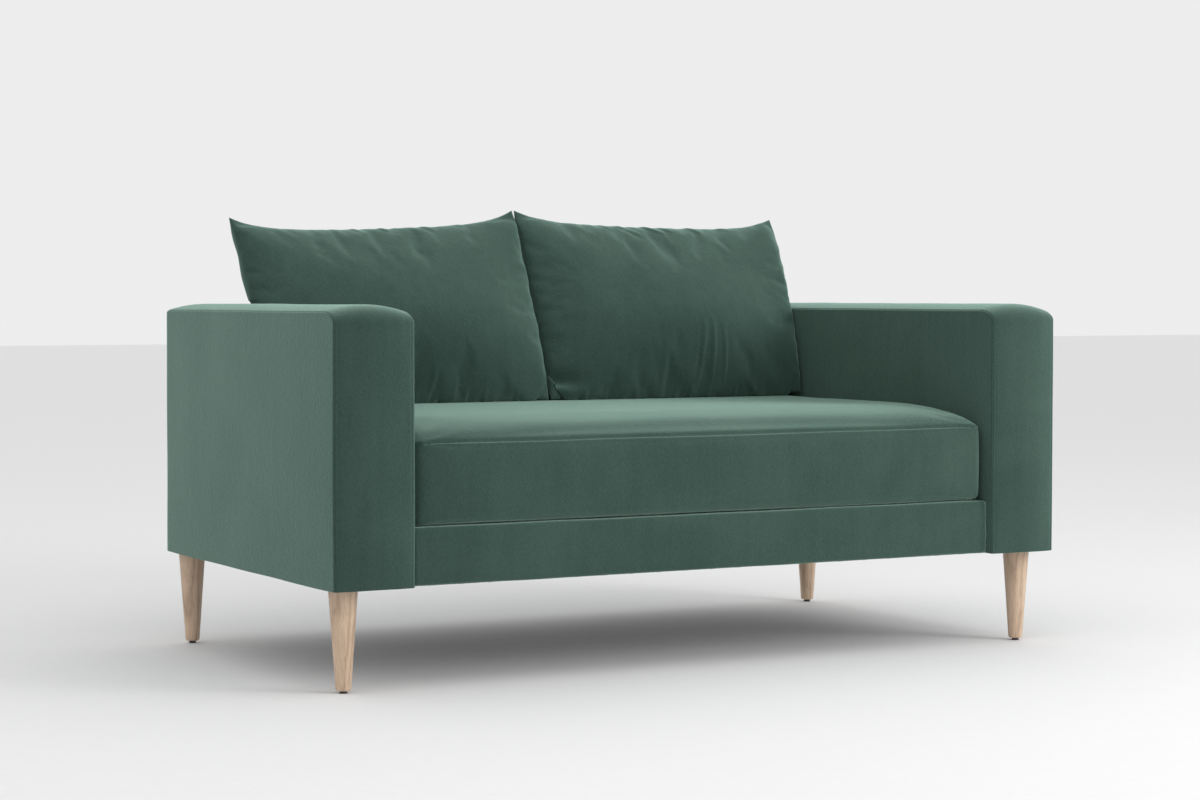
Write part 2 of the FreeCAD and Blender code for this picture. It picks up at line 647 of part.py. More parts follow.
def leg_turning(name):
    """A tapered leg, with a hole in its top for the screw and one in its toe for the glide's pin."""
    screw_hole = "(bolt + fit_room) / 2"
    pin_hole = "(glide_pin + fit_room) / 2"
    slope = "((leg_top - leg_toe) / 2 / (body_underside - glide_height))"
    return turned(name, [
        (pin_hole, "glide_height"),
        ("leg_toe / 2 - leg_edge", "glide_height"),
        (f"leg_toe / 2 + leg_edge * {slope}", "glide_height + leg_edge"),
        ("leg_top / 2", "body_underside - leg_edge"),
        ("leg_top / 2 - leg_edge", "body_underside"),
        (screw_hole, "body_underside"),
        (screw_hole, "body_underside - screw_depth - leg_edge"),
        ("0", "body_underside - screw_depth - leg_edge"),
        ("0", "glide_height + glide_pin_length + leg_edge"),
        (pin_hole, "glide_height + glide_pin_length + leg_edge"),
    ])


def legs():
    """Four separate legs, and the four glides that are nailed into them."""
    glide = turned("glide_turning", [("0", "0"), ("glide / 2", "0"), ("glide / 2", "glide_height"),
                                     ("glide_pin / 2", "glide_height"),
                                     ("glide_pin / 2", "glide_height + glide_pin_length"),
                                     ("0", "glide_height + glide_pin_length")])
    glides = []
    for side in SIDES:
        for end, y in ENDS.items():
            name = f"{side}_{end}_leg"
            leg = node(name, leg_turning(name))
            leg.setExpression(".Placement.Base.x", bound(LEG_BOLT_X[side]))
            leg.setExpression(".Placement.Base.y", bound(y))
            glides.append(copy_at(f"glide_{side}_{end}", glide, (LEG_BOLT_X[side], y, "0")))
    node("leg_glides", group("leg_glides", glides))


legs()


# ---------------------------------------------------------------- cushions

SEAT_BOTTOM = f"({DECK_TOP} + rest_gap)"
SEAT_TOP = f"({SEAT_BOTTOM} + seat_thickness)"
SEAT_HALF = f"({ARM_INSIDE} - seat_side_gap)"
SEAT_FRONT = f"({FRONT} + rail_set_back)"
SEAT_REAR = f"({BACK_FRONT} - pull_thickness - soft_gap)"


def shrunk(span, amount):
    """A pair of faces moved towards each other."""
    return f"{span[0]} + {amount}", f"{span[1]} - {amount}"


def front_rounded(name, base, radius):
    """The base with its upper front edge rounded."""
    doc.recompute()
    box = base.Shape.BoundBox
    return rounded(name, base, radius,
                   lambda edge: lies_at(edge, "Z", box.ZMax) and lies_at(edge, "Y", box.YMin))


def zip_pull(name, slider, tab, hole):
    """The slider of a zip with its tab, as one solid."""
    return less(name, joined(f"{name}_metal", slider, tab), [hole])


def seat_cushion():
    """The seat's foam core in its cover, which closes with a zip along its rear face."""
    whole = [(f"-{SEAT_HALF}", SEAT_HALF), (SEAT_FRONT, SEAT_REAR), (SEAT_BOTTOM, SEAT_TOP)]
    core = block("seat_core_block", *[shrunk(span, "cover") for span in whole])
    outside = block("seat_outside", *whole)
    inside = block("seat_inside", *[shrunk(span, "cover") for span in whole])
    core = front_rounded("seat_core_round", core, "seat_front_round - cover")
    outside = front_rounded("seat_outside_round", outside, "seat_front_round")
    inside = front_rounded("seat_inside_round", inside, "seat_front_round - cover")
    node("seat_core", core)
    middle = f"(({SEAT_BOTTOM} + {SEAT_TOP}) / 2)"
    zip_x = (f"seat_zip_from_end - {SEAT_HALF}", f"{SEAT_HALF} - seat_zip_from_end")
    tape_z = (f"{middle} - zip_tape / 2", f"{middle} + zip_tape / 2")
    slot = block("seat_zip_slot", zip_x, (f"{SEAT_REAR} - cover", SEAT_REAR), tape_z)
    node("seat_cover", less("seat_cover", outside, [inside, slot]))
    tape_y = (f"{SEAT_REAR} - cover", f"{SEAT_REAR} - cover + zip_tape_sheet")
    tape = block("seat_zip_tape", zip_x, tape_y, tape_z)
    chain = block("seat_zip_chain", zip_x, (f"{SEAT_REAR} - cover + zip_tape_sheet", SEAT_REAR),
                  (f"{middle} - zip_chain / 2", f"{middle} + zip_chain / 2"))
    node("seat_zip", joined("seat_zip", tape, chain))

    pull_x = zip_x[0]
    pull_y = (f"{SEAT_REAR} + fit_room", f"{SEAT_REAR} + pull_thickness")
    slider = block("seat_slider", (pull_x, f"{pull_x} + pull_length"), pull_y,
                   (f"{middle} - pull_width / 2", f"{middle} + pull_width / 2"))
    hang = f"({middle} - pull_width / 2)"
    centre = f"({pull_x} + pull_length / 2)"
    tab = block("seat_tab", (f"{centre} - tab_width / 2", f"{centre} + tab_width / 2"),
                (pull_y[0], f"{pull_y[0]} + tab_thickness"), (f"{hang} - tab_length", hang))
    hole = cylinder("seat_tab_hole", "tab_hole", "tab_thickness",
                    (centre, pull_y[0], f"{hang} - tab_length + tab_width / 2"), (0, 1, 0))
    node("seat_zip_pull", zip_pull("seat_zip_pull", slider, tab, hole))


PILLOW_LENGTH = f"({ARM_INSIDE} - pillow_side_gap - pillow_middle_gap)"
PILLOW_LEFT = {"left": f"(pillow_side_gap - {ARM_INSIDE})", "right": "(pillow_middle_gap)"}
PILLOW_Z = f"({SEAT_TOP} + rest_gap - pillow_round * (sin(pillow_tilt) + cos(pillow_tilt) - 1))"
PILLOW_Y = f"({BACK_FRONT} + edge_round - (edge_round + soft_gap + (back_top - edge_round - {PILLOW_Z})" \
           " * sin(pillow_tilt)) / cos(pillow_tilt))"


def pillow_node(side, name, piece):
    """Lean a finished piece of a back cushion against the backrest, and list it."""
    label = f"{side}_back_cushion_{name}"
    leaning = group(f"{label}_leaning", [piece])
    leaning.Placement = FreeCAD.Placement(V(), FreeCAD.Rotation(V(1, 0, 0), -1))
    for axis, formula in zip("xyz", (PILLOW_LEFT[side], PILLOW_Y, PILLOW_Z)):
        leaning.setExpression(f".Placement.Base.{axis}", bound(formula))
    leaning.setExpression(".Placement.Rotation.Angle", bound("-pillow_tilt"))
    node(label, leaning)


def back_cushion(side):
    """One back cushion: an insert in its cover, with a zip along the bottom. It is made upright, with
    its lower rear edge on X at zero, and then leant back."""
    whole = [("0", PILLOW_LENGTH), ("-pillow_thickness", "0"), ("0", "pillow_height")]
    inner = [shrunk(span, "cover") for span in whole]

    def rolled(name, spans, radius):
        base = block(f"{side}_{name}_block", *spans)
        return rounded(f"{side}_{name}_round", base, radius, lambda edge: runs_along(edge, "x"))

    pillow_node(side, "insert", rolled("insert", inner, "pillow_round - cover"))
    middle = "(-pillow_thickness / 2)"
    zip_x = ("zip_from_end", f"{PILLOW_LENGTH} - zip_from_end")
    tape_y = (f"{middle} - zip_tape / 2", f"{middle} + zip_tape / 2")
    slot = block(f"{side}_zip_slot", zip_x, tape_y, ("0", "cover"))
    pillow_node(side, "cover", less(f"{side}_pillow_cover", rolled("outside", whole, "pillow_round"),
                                    [rolled("inside", inner, "pillow_round - cover"), slot]))
    tape = block(f"{side}_zip_tape", zip_x, tape_y, ("cover - zip_tape_sheet", "cover"))
    chain = block(f"{side}_zip_chain", zip_x, (f"{middle} - zip_chain / 2", f"{middle} + zip_chain / 2"),
                  ("0", "cover - zip_tape_sheet"))
    pillow_node(side, "zip", joined(f"{side}_pillow_zip", tape, chain))

    face = "(-fit_room)"
    slider = block(f"{side}_slider", (zip_x[0], f"{zip_x[0]} + pull_length"),
                   (f"{middle} - pull_width / 2", f"{middle} + pull_width / 2"), ("-pull_thickness", face))
    start = f"({zip_x[0]} - tab_length)"
    tab = block(f"{side}_tab", (start, zip_x[0]), (f"{middle} - tab_width / 2", f"{middle} + tab_width / 2"),
                (f"{face} - tab_thickness", face))
    hole = cylinder(f"{side}_tab_hole", "tab_hole", "tab_thickness",
                    (f"{start} + tab_width / 2", middle, f"{face} - tab_thickness"), (0, 0, 1))
    pillow_node(side, "zip_pull", zip_pull(f"{side}_pull", slider, tab, hole))


seat_cushion()
for side in SIDES:
    back_cushion(side)


# ---------------------------------------------------------------- check and write

doc.recompute()
for thing in doc.Objects:
    if "Invalid" in thing.State or "Error" in thing.State:
        raise RuntimeError(f"{thing.Label} did not build: {thing.State}")
os.makedirs("parts", exist_ok=True)
for piece in nodes:
    shape = piece.Shape
    if shape.isNull() or not shape.isValid() or not shape.Solids:
        raise RuntimeError(f"{piece.Label} has no valid solid")
    shape.exportStep(os.path.join("parts", f"{piece.Label}.step"))
print(len(nodes), "nodes,", sum(len(piece.Shape.Solids) for piece in nodes), "solids")
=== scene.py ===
# %% [markdown]
# # A two-seat sofa with wooden legs
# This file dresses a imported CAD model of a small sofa. The model holds everything that fastens or carries load.
# What is soft, which is nearly all that shows, is made here: the arms, the backrest, the front rail and the
# three loose cushions. The frame is loaded first and never changes, so every soft piece takes its place from it.

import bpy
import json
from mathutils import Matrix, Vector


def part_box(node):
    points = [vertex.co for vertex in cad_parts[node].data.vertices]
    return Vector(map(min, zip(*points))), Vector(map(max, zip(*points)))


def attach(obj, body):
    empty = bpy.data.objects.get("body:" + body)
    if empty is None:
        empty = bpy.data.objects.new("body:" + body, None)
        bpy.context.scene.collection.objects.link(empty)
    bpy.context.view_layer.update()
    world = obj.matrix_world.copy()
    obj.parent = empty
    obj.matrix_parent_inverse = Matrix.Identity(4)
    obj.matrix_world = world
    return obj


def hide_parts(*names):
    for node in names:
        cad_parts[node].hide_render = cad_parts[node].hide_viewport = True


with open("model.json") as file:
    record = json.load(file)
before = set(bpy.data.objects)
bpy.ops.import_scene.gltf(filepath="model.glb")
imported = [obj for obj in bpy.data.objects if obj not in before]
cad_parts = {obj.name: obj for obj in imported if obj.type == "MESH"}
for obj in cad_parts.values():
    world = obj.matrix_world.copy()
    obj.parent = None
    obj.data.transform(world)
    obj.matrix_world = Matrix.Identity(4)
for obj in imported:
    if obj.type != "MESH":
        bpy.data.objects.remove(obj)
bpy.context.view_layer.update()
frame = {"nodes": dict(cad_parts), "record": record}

# %% Modules and the places that several pieces share
import json
import math

import bmesh
import bpy
import numpy as np
from mathutils import Vector, noise
from mathutils.bvhtree import BVHTree

SIDES = {"left": -1, "right": 1}
noise.seed_set(1)  # without a seed, the noise starts from the clock
nodes = frame["nodes"]
scene = bpy.context.scene
arm_low, arm_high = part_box("right_arm_cover")
seat_low, seat_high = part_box("seat_cover")
back_low, back_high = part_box("back_cover")
rail_low, rail_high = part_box("front_rail_cover")
arm_inside = arm_low.x
print("the arms' inner faces are", round(2 * arm_inside, 3), "m apart")

# %% [markdown]
# ## Finishes
# Five effects are shared: velvet's nap, wood grain, a plain weave, the cells of foam and pressed cloth, and fine
# scratches. Each is a node group that only puts out colours, roughness and heights. The shader stays in each
# material, with its constant values on its own sockets.

# %% Helpers for node trees
def feed(value, socket):
    """Give a socket a plain value, or link another socket to it. A colour is three numbers."""
    value = getattr(value, "socket", value)
    if isinstance(value, bpy.types.NodeSocket):
        socket.id_data.links.new(value, socket)
    else:
        socket.default_value = (*value, 1) if socket.type == "RGBA" else value


def add(tree, kind, inputs=None, **properties):
    """A new node. Its properties are set, and each input in the list is fed."""
    made = tree.nodes.new(kind)
    for name, value in properties.items():
        setattr(made, name, value)
    for label, value in (inputs or {}).items():
        feed(value, made.inputs[label])
    return made


class Value:
    """A node's output that can be reckoned with. Each step adds a Math node."""

    def __init__(self, socket):
        self.socket, self.tree = socket, socket.id_data

    def maths(self, operation, other=0.0):
        return Value(add(self.tree, "ShaderNodeMath", {0: self, 1: other}, operation=operation).outputs[0])

    def __add__(self, other):
        return self.maths("ADD", other)

    def __sub__(self, other):
        return self.maths("SUBTRACT", other)

    def __mul__(self, other):
        return self.maths("MULTIPLY", other)


def blend_colours(amount, first, second):
    """A Mix node for colours."""
    return add(amount.tree, "ShaderNodeMix", {0: amount, 6: first, 7: second}, data_type="RGBA").outputs[2]


def scaled(place, factors):
    """The place multiplied by a factor along each axis."""
    made = add(place.tree, "ShaderNodeVectorMath", {0: place, 1: factors}, operation="MULTIPLY")
    return Value(made.outputs[0])


def split(place):
    """The place's three numbers."""
    made = add(place.tree, "ShaderNodeSeparateXYZ", {0: place})
    return [Value(socket) for socket in made.outputs]


def noise_at(place, scale, detail=2.0, distortion=0.0):
    """A Noise texture's value, about 0.5 on average. The scale is in waves per metre."""
    inputs = {"Vector": place, "Scale": scale, "Detail": detail, "Distortion": distortion}
    return Value(add(place.tree, "ShaderNodeTexNoise", inputs).outputs["Fac"])


def new_group(name, outputs, **inputs):
    """A node group with a place and other inputs, each a colour or a number by its default, and its outputs."""
    tree = bpy.data.node_groups.new(name, "ShaderNodeTree")
    tree.interface.new_socket("Place", in_out="INPUT", socket_type="NodeSocketVector")
    for label, default in inputs.items():
        colour = isinstance(default, tuple)
        kind = "NodeSocketColor" if colour else "NodeSocketFloat"
        made = tree.interface.new_socket(label, in_out="INPUT", socket_type=kind)
        made.default_value = (*default, 1) if colour else default
    for label in outputs:
        kind = "NodeSocketColor" if label == "Color" else "NodeSocketFloat"
        tree.interface.new_socket(label, in_out="OUTPUT", socket_type=kind)
    given = {socket.name: Value(socket) for socket in add(tree, "NodeGroupInput").outputs if socket.name}
    return tree, given, add(tree, "NodeGroupOutput").inputs


print("helpers are ready")

# %% [markdown]
# ### The nap of velvet
# Velvet is a forest of short fibres. Its colour hardly changes, but brushed patches lean different ways, faint
# streaks follow the pile, and single tufts make a fine grain. All three are noise at three sizes, added up.

# %% The nap group
def nap_group():
    tree, given, out = new_group("Velvet nap", ("Color", "Height"), Deep=(0.03, 0.06, 0.05),
                                 Pale=(0.06, 0.1, 0.09), Brushing=0.5, Streaks=0.3, Tufts=0.3)
    place = given["Place"]
    turn = tuple(math.radians(angle) for angle in (28, 24, 20))
    slanted = Value(add(tree, "ShaderNodeMapping", {"Vector": place, "Rotation": turn}).outputs["Vector"])
    brushed = noise_at(place, 5.0, 3.0, 0.8) - 0.5
    streak = noise_at(scaled(place, (60.0, 60.0, 5.0)), 1.0, 3.0) - 0.5
    lean = noise_at(scaled(slanted, (330.0, 330.0, 190.0)), 1.0, 2.0, 0.6)
    tuft = noise_at(place, 900.0, 1.0)
    crush = noise_at(place, 120.0, 2.0)
    fine = (lean - 0.5) + (tuft - 0.5) * 0.7
    amount = brushed * given["Brushing"] + streak * given["Streaks"] + fine * given["Tufts"] + 0.5
    feed(blend_colours(amount, given["Deep"], given["Pale"]), out["Color"])
    feed(lean + tuft * 0.35 + crush * 0.55, out["Height"])
    return tree


nap = nap_group()
print("built", nap.name)

# %% [markdown]
# ### Wood grain
# A leg is turned from a board, so its growth rings show as long stretched ovals with fine dark pores along the
# grain. Rings are a wave texture, stretched along the leg and bent by noise; pores are noise stretched much more.

# %% The grain group
def grain_group():
    tree, given, out = new_group("Wood grain", ("Color", "Roughness", "Height"), Early=(0.6, 0.45, 0.3),
                                 Late=(0.4, 0.27, 0.16), Rings=60.0, Contrast=0.5, Pores=0.5)
    place = given["Place"]
    x, y, z = split(place)
    bend = noise_at(scaled(place, (24.0, 24.0, 5.0)), 1.0, 3.0)
    phase = (x + y * 0.55 + bend * 0.045) * given["Rings"]
    ring = phase.maths("PINGPONG", 1.0).maths("POWER", 2.2)
    fibre = noise_at(scaled(place, (520.0, 520.0, 16.0)), 1.0, 3.0)
    fleck = noise_at(scaled(place, (700.0, 700.0, 38.0)), 1.0, 1.0)
    pore = fleck.maths("GREATER_THAN", 0.66) * given["Pores"]
    patch = (noise_at(place, 14.0) - 0.5) * 0.6
    mix = ring * given["Contrast"] + (fibre - 0.35) * 0.9 + patch + pore * 0.45
    feed(blend_colours(mix, given["Early"], given["Late"]), out["Color"])
    feed(fibre * 0.25 + 0.36, out["Roughness"])
    feed(fibre * 0.6 - pore, out["Height"])
    return tree


grain = grain_group()
print("built", grain.name)

# %% [markdown]
# ### Weave, cells and metal
# Cloth that isn't velvet is a plain weave: two sets of threads, over and under. Foam and pressed cloth are made
# of cells. Metal and plastic carry fine scratches or moulding marks, which change how rough they are.

# %% The weave, cell and scratch groups
def weave_group():
    tree, given, out = new_group("Plain weave", ("Color", "Height"), Thread=(0.1, 0.1, 0.1),
                                 Shade=(0.03, 0.03, 0.03), Threads=900.0)
    x, y, z = split(given["Place"])
    warp = (x * given["Threads"]).maths("SINE")
    weft = ((y + z) * given["Threads"]).maths("SINE")
    height = warp * weft * 0.5 + 0.5
    slub = noise_at(scaled(given["Place"], (30.0, 300.0, 300.0)), 1.0, 2.0)
    feed(blend_colours((height + slub) * 0.6, given["Shade"], given["Thread"]), out["Color"])
    feed(height, out["Height"])
    return tree


def cell_group():
    tree, given, out = new_group("Cells", ("Color", "Height"), Wall=(0.8, 0.75, 0.5), Hollow=(0.5, 0.45, 0.3),
                                 Cells=500.0)
    cells = add(tree, "ShaderNodeTexVoronoi", {"Vector": given["Place"], "Scale": given["Cells"]})
    edge = Value(cells.outputs["Distance"]) * 1.3
    amount = (edge + noise_at(given["Place"], 20.0, 2.0)) * 0.6
    feed(blend_colours(amount, given["Hollow"], given["Wall"]), out["Color"])
    feed(edge, out["Height"])
    return tree


def scratch_group():
    tree, given, out = new_group("Fine scratches", ("Color", "Roughness", "Height"), Clean=(0.6, 0.6, 0.6),
                                 Dull=(0.4, 0.4, 0.4), Smooth=0.25, Amount=0.3)
    line = noise_at(scaled(given["Place"], (90.0, 1500.0, 1500.0)), 1.0, 2.0)
    amount = (line + noise_at(given["Place"], 160.0, 3.0)) * 0.5
    feed(blend_colours(amount, given["Clean"], given["Dull"]), out["Color"])
    feed(given["Smooth"] + amount * given["Amount"], out["Roughness"])
    feed(line, out["Height"])
    return tree


weave, cells, scratches = weave_group(), cell_group(), scratch_group()
print("built", weave.name, cells.name, scratches.name)

# %% [markdown]
# ### Materials
# A material is a Principled shader, a group with this finish's own values, and a Bump node for the group's
# height. Constants such as sheen sit on the shader, where every renderer and export can read them.

# %% The material maker
def finish(name, group, shader, bump=0.0, bump_distance=0.0005, **inputs):
    """A material from the shader's constant values and a group's inputs."""
    material = bpy.data.materials.new(name)
    material.use_nodes = True
    tree = material.node_tree
    shade = tree.nodes["Principled BSDF"].inputs
    for label, value in shader.items():
        feed(value, shade[label])
    place = add(tree, "ShaderNodeTexCoord").outputs["Object"]
    effect = add(tree, "ShaderNodeGroup", {"Place": place, **inputs}, node_tree=group).outputs
    feed(effect["Color"], shade["Base Color"])
    if "Roughness" in effect:
        feed(effect["Roughness"], shade["Roughness"])
    if bump:
        inputs = {"Strength": bump, "Distance": bump_distance, "Height": effect["Height"]}
        feed(add(tree, "ShaderNodeBump", inputs).outputs["Normal"], shade["Normal"])
    return material


def paint_grazing_sheen(material, least, most):
    """Painted sheen: the base colour grows lighter as the surface turns away from the view, standing in for the
    pile's sheen.
    """
    tree = material.node_tree
    base = tree.nodes["Principled BSDF"].inputs["Base Color"]
    turned = Value(add(tree, "ShaderNodeLayerWeight", {"Blend": 0.5}).outputs["Facing"])
    lift = turned * (most - least) + least
    inputs = {0: base.links[0].from_socket, "Scale": lift}
    feed(add(tree, "ShaderNodeVectorMath", inputs, operation="SCALE").outputs[0], base)


VELVET_SHADER = {"Roughness": 0.85, "Sheen Weight": 0.75, "Sheen Roughness": 0.42,
                 "Sheen Tint": (0.56, 0.82, 0.71), "Specular IOR Level": 0.15}
velvet = finish("green_velvet", nap, VELVET_SHADER, 0.65, 0.0010, Deep=(0.021, 0.048, 0.038),
                Pale=(0.053, 0.096, 0.078), Brushing=0.7, Streaks=0.35, Tufts=0.8)
# Painted sheen on the velvet: its base colour is lifted at grazing angles, besides the shader's own sheen.
paint_grazing_sheen(velvet, 0.85, 1.5)
leg_oak = finish("pale_oak", grain, {"Coat Weight": 0.15, "Coat Roughness": 0.4}, 0.25, 0.0003,
                 Early=(0.64, 0.47, 0.335), Late=(0.29, 0.185, 0.118), Rings=130.0, Contrast=0.46, Pores=0.7)
print("velvet and oak are ready")

# %% The hidden materials
CLOTH = {"Roughness": 0.9, "Sheen Weight": 0.2}
METAL = {"Metallic": 1.0}
FINISH_OF_SLOT = {
    "velvet": velvet,
    "leg_wood": leg_oak,
    "frame_wood": finish("sawn_pine", grain, {}, 0.4, Early=(0.66, 0.48, 0.28), Late=(0.47, 0.28, 0.13),
                         Rings=60.0, Contrast=0.6, Pores=0.1),
    "plywood": finish("birch_plywood", grain, {}, 0.2, Early=(0.68, 0.53, 0.35), Late=(0.52, 0.37, 0.22),
                      Rings=25.0, Contrast=0.4, Pores=0.1),
    "hardboard": finish("brown_hardboard", cells, {"Roughness": 0.6}, 0.2, Wall=(0.23, 0.14, 0.08),
                        Hollow=(0.16, 0.09, 0.05), Cells=900.0),
    "foam": finish("cream_foam", cells, {"Roughness": 0.95}, 0.5, Wall=(0.72, 0.66, 0.42),
                   Hollow=(0.5, 0.44, 0.26), Cells=700.0),
    "dust_cloth": finish("black_dust_cloth", cells, {**CLOTH, "Sheen Weight": 0.15}, 0.4,
                         Wall=(0.022, 0.022, 0.024), Hollow=(0.009, 0.009, 0.01), Cells=1400.0),
    "deck_cloth": finish("deck_cloth", weave, CLOTH, 0.5, Thread=(0.05, 0.075, 0.065),
                         Shade=(0.02, 0.03, 0.026), Threads=2600.0),
    "webbing": finish("jute_webbing", weave, {"Roughness": 0.9}, 0.8, Thread=(0.42, 0.31, 0.17),
                      Shade=(0.2, 0.13, 0.06), Threads=2100.0),
    "zip_tape": finish("zip_tape", weave, {**CLOTH, "Roughness": 0.8}, 0.4, Thread=(0.035, 0.06, 0.05),
                       Shade=(0.015, 0.026, 0.022), Threads=4200.0),
    "spring_steel": finish("oiled_steel", scratches, METAL, 0.1, Clean=(0.30, 0.30, 0.31),
                           Dull=(0.16, 0.15, 0.14), Smooth=0.22),
    "zinc_steel": finish("zinc_plate", scratches, METAL, 0.1, Clean=(0.66, 0.67, 0.68),
                         Dull=(0.5, 0.5, 0.48), Smooth=0.28),
    "zip_metal": finish("dark_nickel", scratches, METAL, 0.1, Clean=(0.34, 0.33, 0.32),
                        Dull=(0.2, 0.2, 0.19), Smooth=0.2),
    "glide_plastic": finish("glide_plastic", scratches, {}, 0.15, Clean=(0.012, 0.012, 0.013),
                            Dull=(0.03, 0.03, 0.03), Smooth=0.4),
}
for part in frame["record"]["subparts"]:
    mesh = nodes[part["node"]].data
    mesh.materials.clear()
    mesh.materials.append(FINISH_OF_SLOT[part["material_slot"]])
print(len(FINISH_OF_SLOT), "finishes on", len(nodes), "CAD nodes")

# %% [markdown]
# ## Sewn boxes
# An arm, the backrest and the seat cushion are all made the same way: two flat panels cut to the same outline,
# and a band sewn between them. Foam makes the panels swell, and the seam pulls the cloth in. One builder makes all
# of them as a fine net of quads. Close to a seam its lines crowd together, so that the edge can turn and the seam
# can dip. Modelling this from a box with modifiers would be quicker, but the seam would then have no rows of its own.

# %% Lines and faces of a net
TUCK = 1 - math.sqrt(0.5)
SEAM_WIDTH = 0.0014
TOPSTITCH_AWAY = 0.0050
TOPSTITCH_WIDTH = 0.0011


def graded(start, end, first, growth, largest):
    """Places from the start to the end: close together at both ends, further apart in the middle."""
    places = [0.0]
    step = first
    while places[-1] < 1.0:
        places.append(places[-1] + step / abs(end - start) * 2)
        step = min(step * growth, largest)
    half = np.array(places) / places[-1] / 2
    both = np.concatenate([half, 1 - half[-2::-1]])
    return start + (end - start) * both


def fall(distance, radius):
    """How far a rounded edge has fallen below its flat face, at a distance from the corner."""
    near = np.minimum(distance, radius)
    return radius - np.sqrt(np.maximum(radius ** 2 - (radius - near) ** 2, 0))


def dip(distance, depth, width):
    """The dent that a seam pulls in the cloth, at a distance from the seam."""
    return depth * np.exp(-(distance / width) ** 2)


def dome(places, low, high, power):
    """1 in the middle between two faces and 0 at both."""
    return 1 - np.abs(2 * (places - low) / (high - low) - 1) ** power


def net_faces(wide, deep, start=0):
    """The quads of a net whose points are numbered along one column after another."""
    corners = [start + column * deep + row for column in range(wide - 1) for row in range(deep - 1)]
    return [[here, here + deep, here + deep + 1, here + 1] for here in corners]


def tube_faces(rings, count):
    """The quads between closed rings of points, and a cap at each end."""
    faces = []
    for here in range(0, (rings - 1) * count, count):
        for step in range(count):
            after = (step + 1) % count
            faces.append([here + step, here + after, here + count + after, here + count + step])
    last = (rings - 1) * count
    return faces + [list(range(count)), list(range(last, last + count))]


def rim(wide, deep, closed=True):
    """The net's edge in order, as (column, row) pairs, from the low left corner round to the low right."""
    walk = [(0, row) for row in range(deep)] + [(column, deep - 1) for column in range(1, wide)]
    walk += [(wide - 1, row) for row in range(deep - 2, -1, -1)]
    return walk + [(column, 0) for column in range(wide - 2, 0, -1) if closed]


def sheet_faces(wide, deep):
    """The quads of two nets, one over the other, and of the narrow band round their edges."""
    count = wide * deep
    edge = [column * deep + row for column, row in rim(wide, deep)]
    band = [[here, after, after + count, here + count] for here, after in zip(edge, edge[1:] + edge[:1])]
    return net_faces(wide, deep) + net_faces(wide, deep, count) + band


print("a graded line:", graded(0.0, 0.1, 0.001, 1.5, 0.02).round(4))

# %% The outline of a panel
class Outline:
    """A rectangle in a panel's own plane. Its low and its high corners are rounded by (along a, along b)."""

    def __init__(self, a, b, low_round=None, high_round=None):
        self.a, self.b = a, b
        self.rounds = [(low_round, b[0], 1), (high_round, b[1], -1)]
        wide = max(corner[0] for corner, _, _ in self.rounds if corner)
        turn = np.radians(np.arange(0, 90, 6))
        corner = wide * (1 - np.cos(turn))
        middle = np.linspace(a[0] + wide, a[1] - wide, max(8, int((a[1] - a[0] - 2 * wide) / 0.012)))
        self.columns = np.concatenate([a[0] + corner, middle, (a[1] - corner)[::-1]])
        self.rows = graded(0.0, 1.0, 0.0014, 1.35, 0.03)

    def grid(self):
        """The net of points, as two arrays with a column for each line across the panel."""
        near = np.minimum(self.columns - self.a[0], self.a[1] - self.columns)
        ends = []
        for corner, edge, way in self.rounds:
            inset = corner[1] / corner[0] * fall(near, corner[0]) if corner else 0 * near
            ends.append((edge + way * inset)[:, None])
        low, high = ends
        a = np.repeat(self.columns[:, None], len(self.rows), 1)
        return a, low + (high - low) * self.rows[None, :]

    def distance(self, a, b, closed):
        """How far points lie inside the outline. The low side counts only if the band closes round it."""
        side = np.minimum(a - self.a[0], self.a[1] - a)
        away = np.minimum(side, self.b[1] - b)
        if closed:
            away = np.minimum(away, b - self.b[0])
        for corner, edge, way in self.rounds:
            if corner:
                depth = way * (b - edge)
                u, v = (corner[0] - side) / corner[0], (corner[1] - depth) / corner[1]
                reach = np.maximum(np.hypot(u, v), 1e-9)
                steep = np.maximum(np.hypot(u / corner[0], v / corner[1]), 1e-9)
                away = np.where((u > 0) & (v > 0), (1 - reach) * reach / steep, away)
        return away

    def outward(self, a, b, row, column):
        """The direction outwards at one point of the rim."""
        for corner, edge, way in self.rounds:
            if corner:
                side = min(a - self.a[0], self.a[1] - a)
                u, v = (corner[0] - side) / corner[0], (corner[1] - way * (b - edge)) / corner[1]
                if u > 0 and v > -1e-9:
                    sense = -1 if a < sum(self.a) / 2 else 1
                    out = np.array([sense * u / corner[0], -way * v / corner[1]])
                    return out / np.linalg.norm(out)
        if 0 < column < len(self.columns) - 1:
            return np.array([0.0, -1.0 if row == 0 else 1.0])
        return np.array([-1.0 if column == 0 else 1.0, 0.0])

    def normals(self, walk):
        a, b = self.grid()
        return np.array([self.outward(a[at], b[at], at[1], at[0]) for at in walk])


print("a line of columns:", len(Outline((-0.42, 0.42), (0.177, 0.635), None, (0.045, 0.02)).columns))

# %% The net of a sewn box
HEM, HEM_DROP, HEM_RISE = 0.013, 0.0010, 0.0014
HEM_TURNS = ((0.12, -HEM_DROP), (1.0, -HEM_DROP), (1.05, HEM_RISE))  # how far drawn in, and at what height


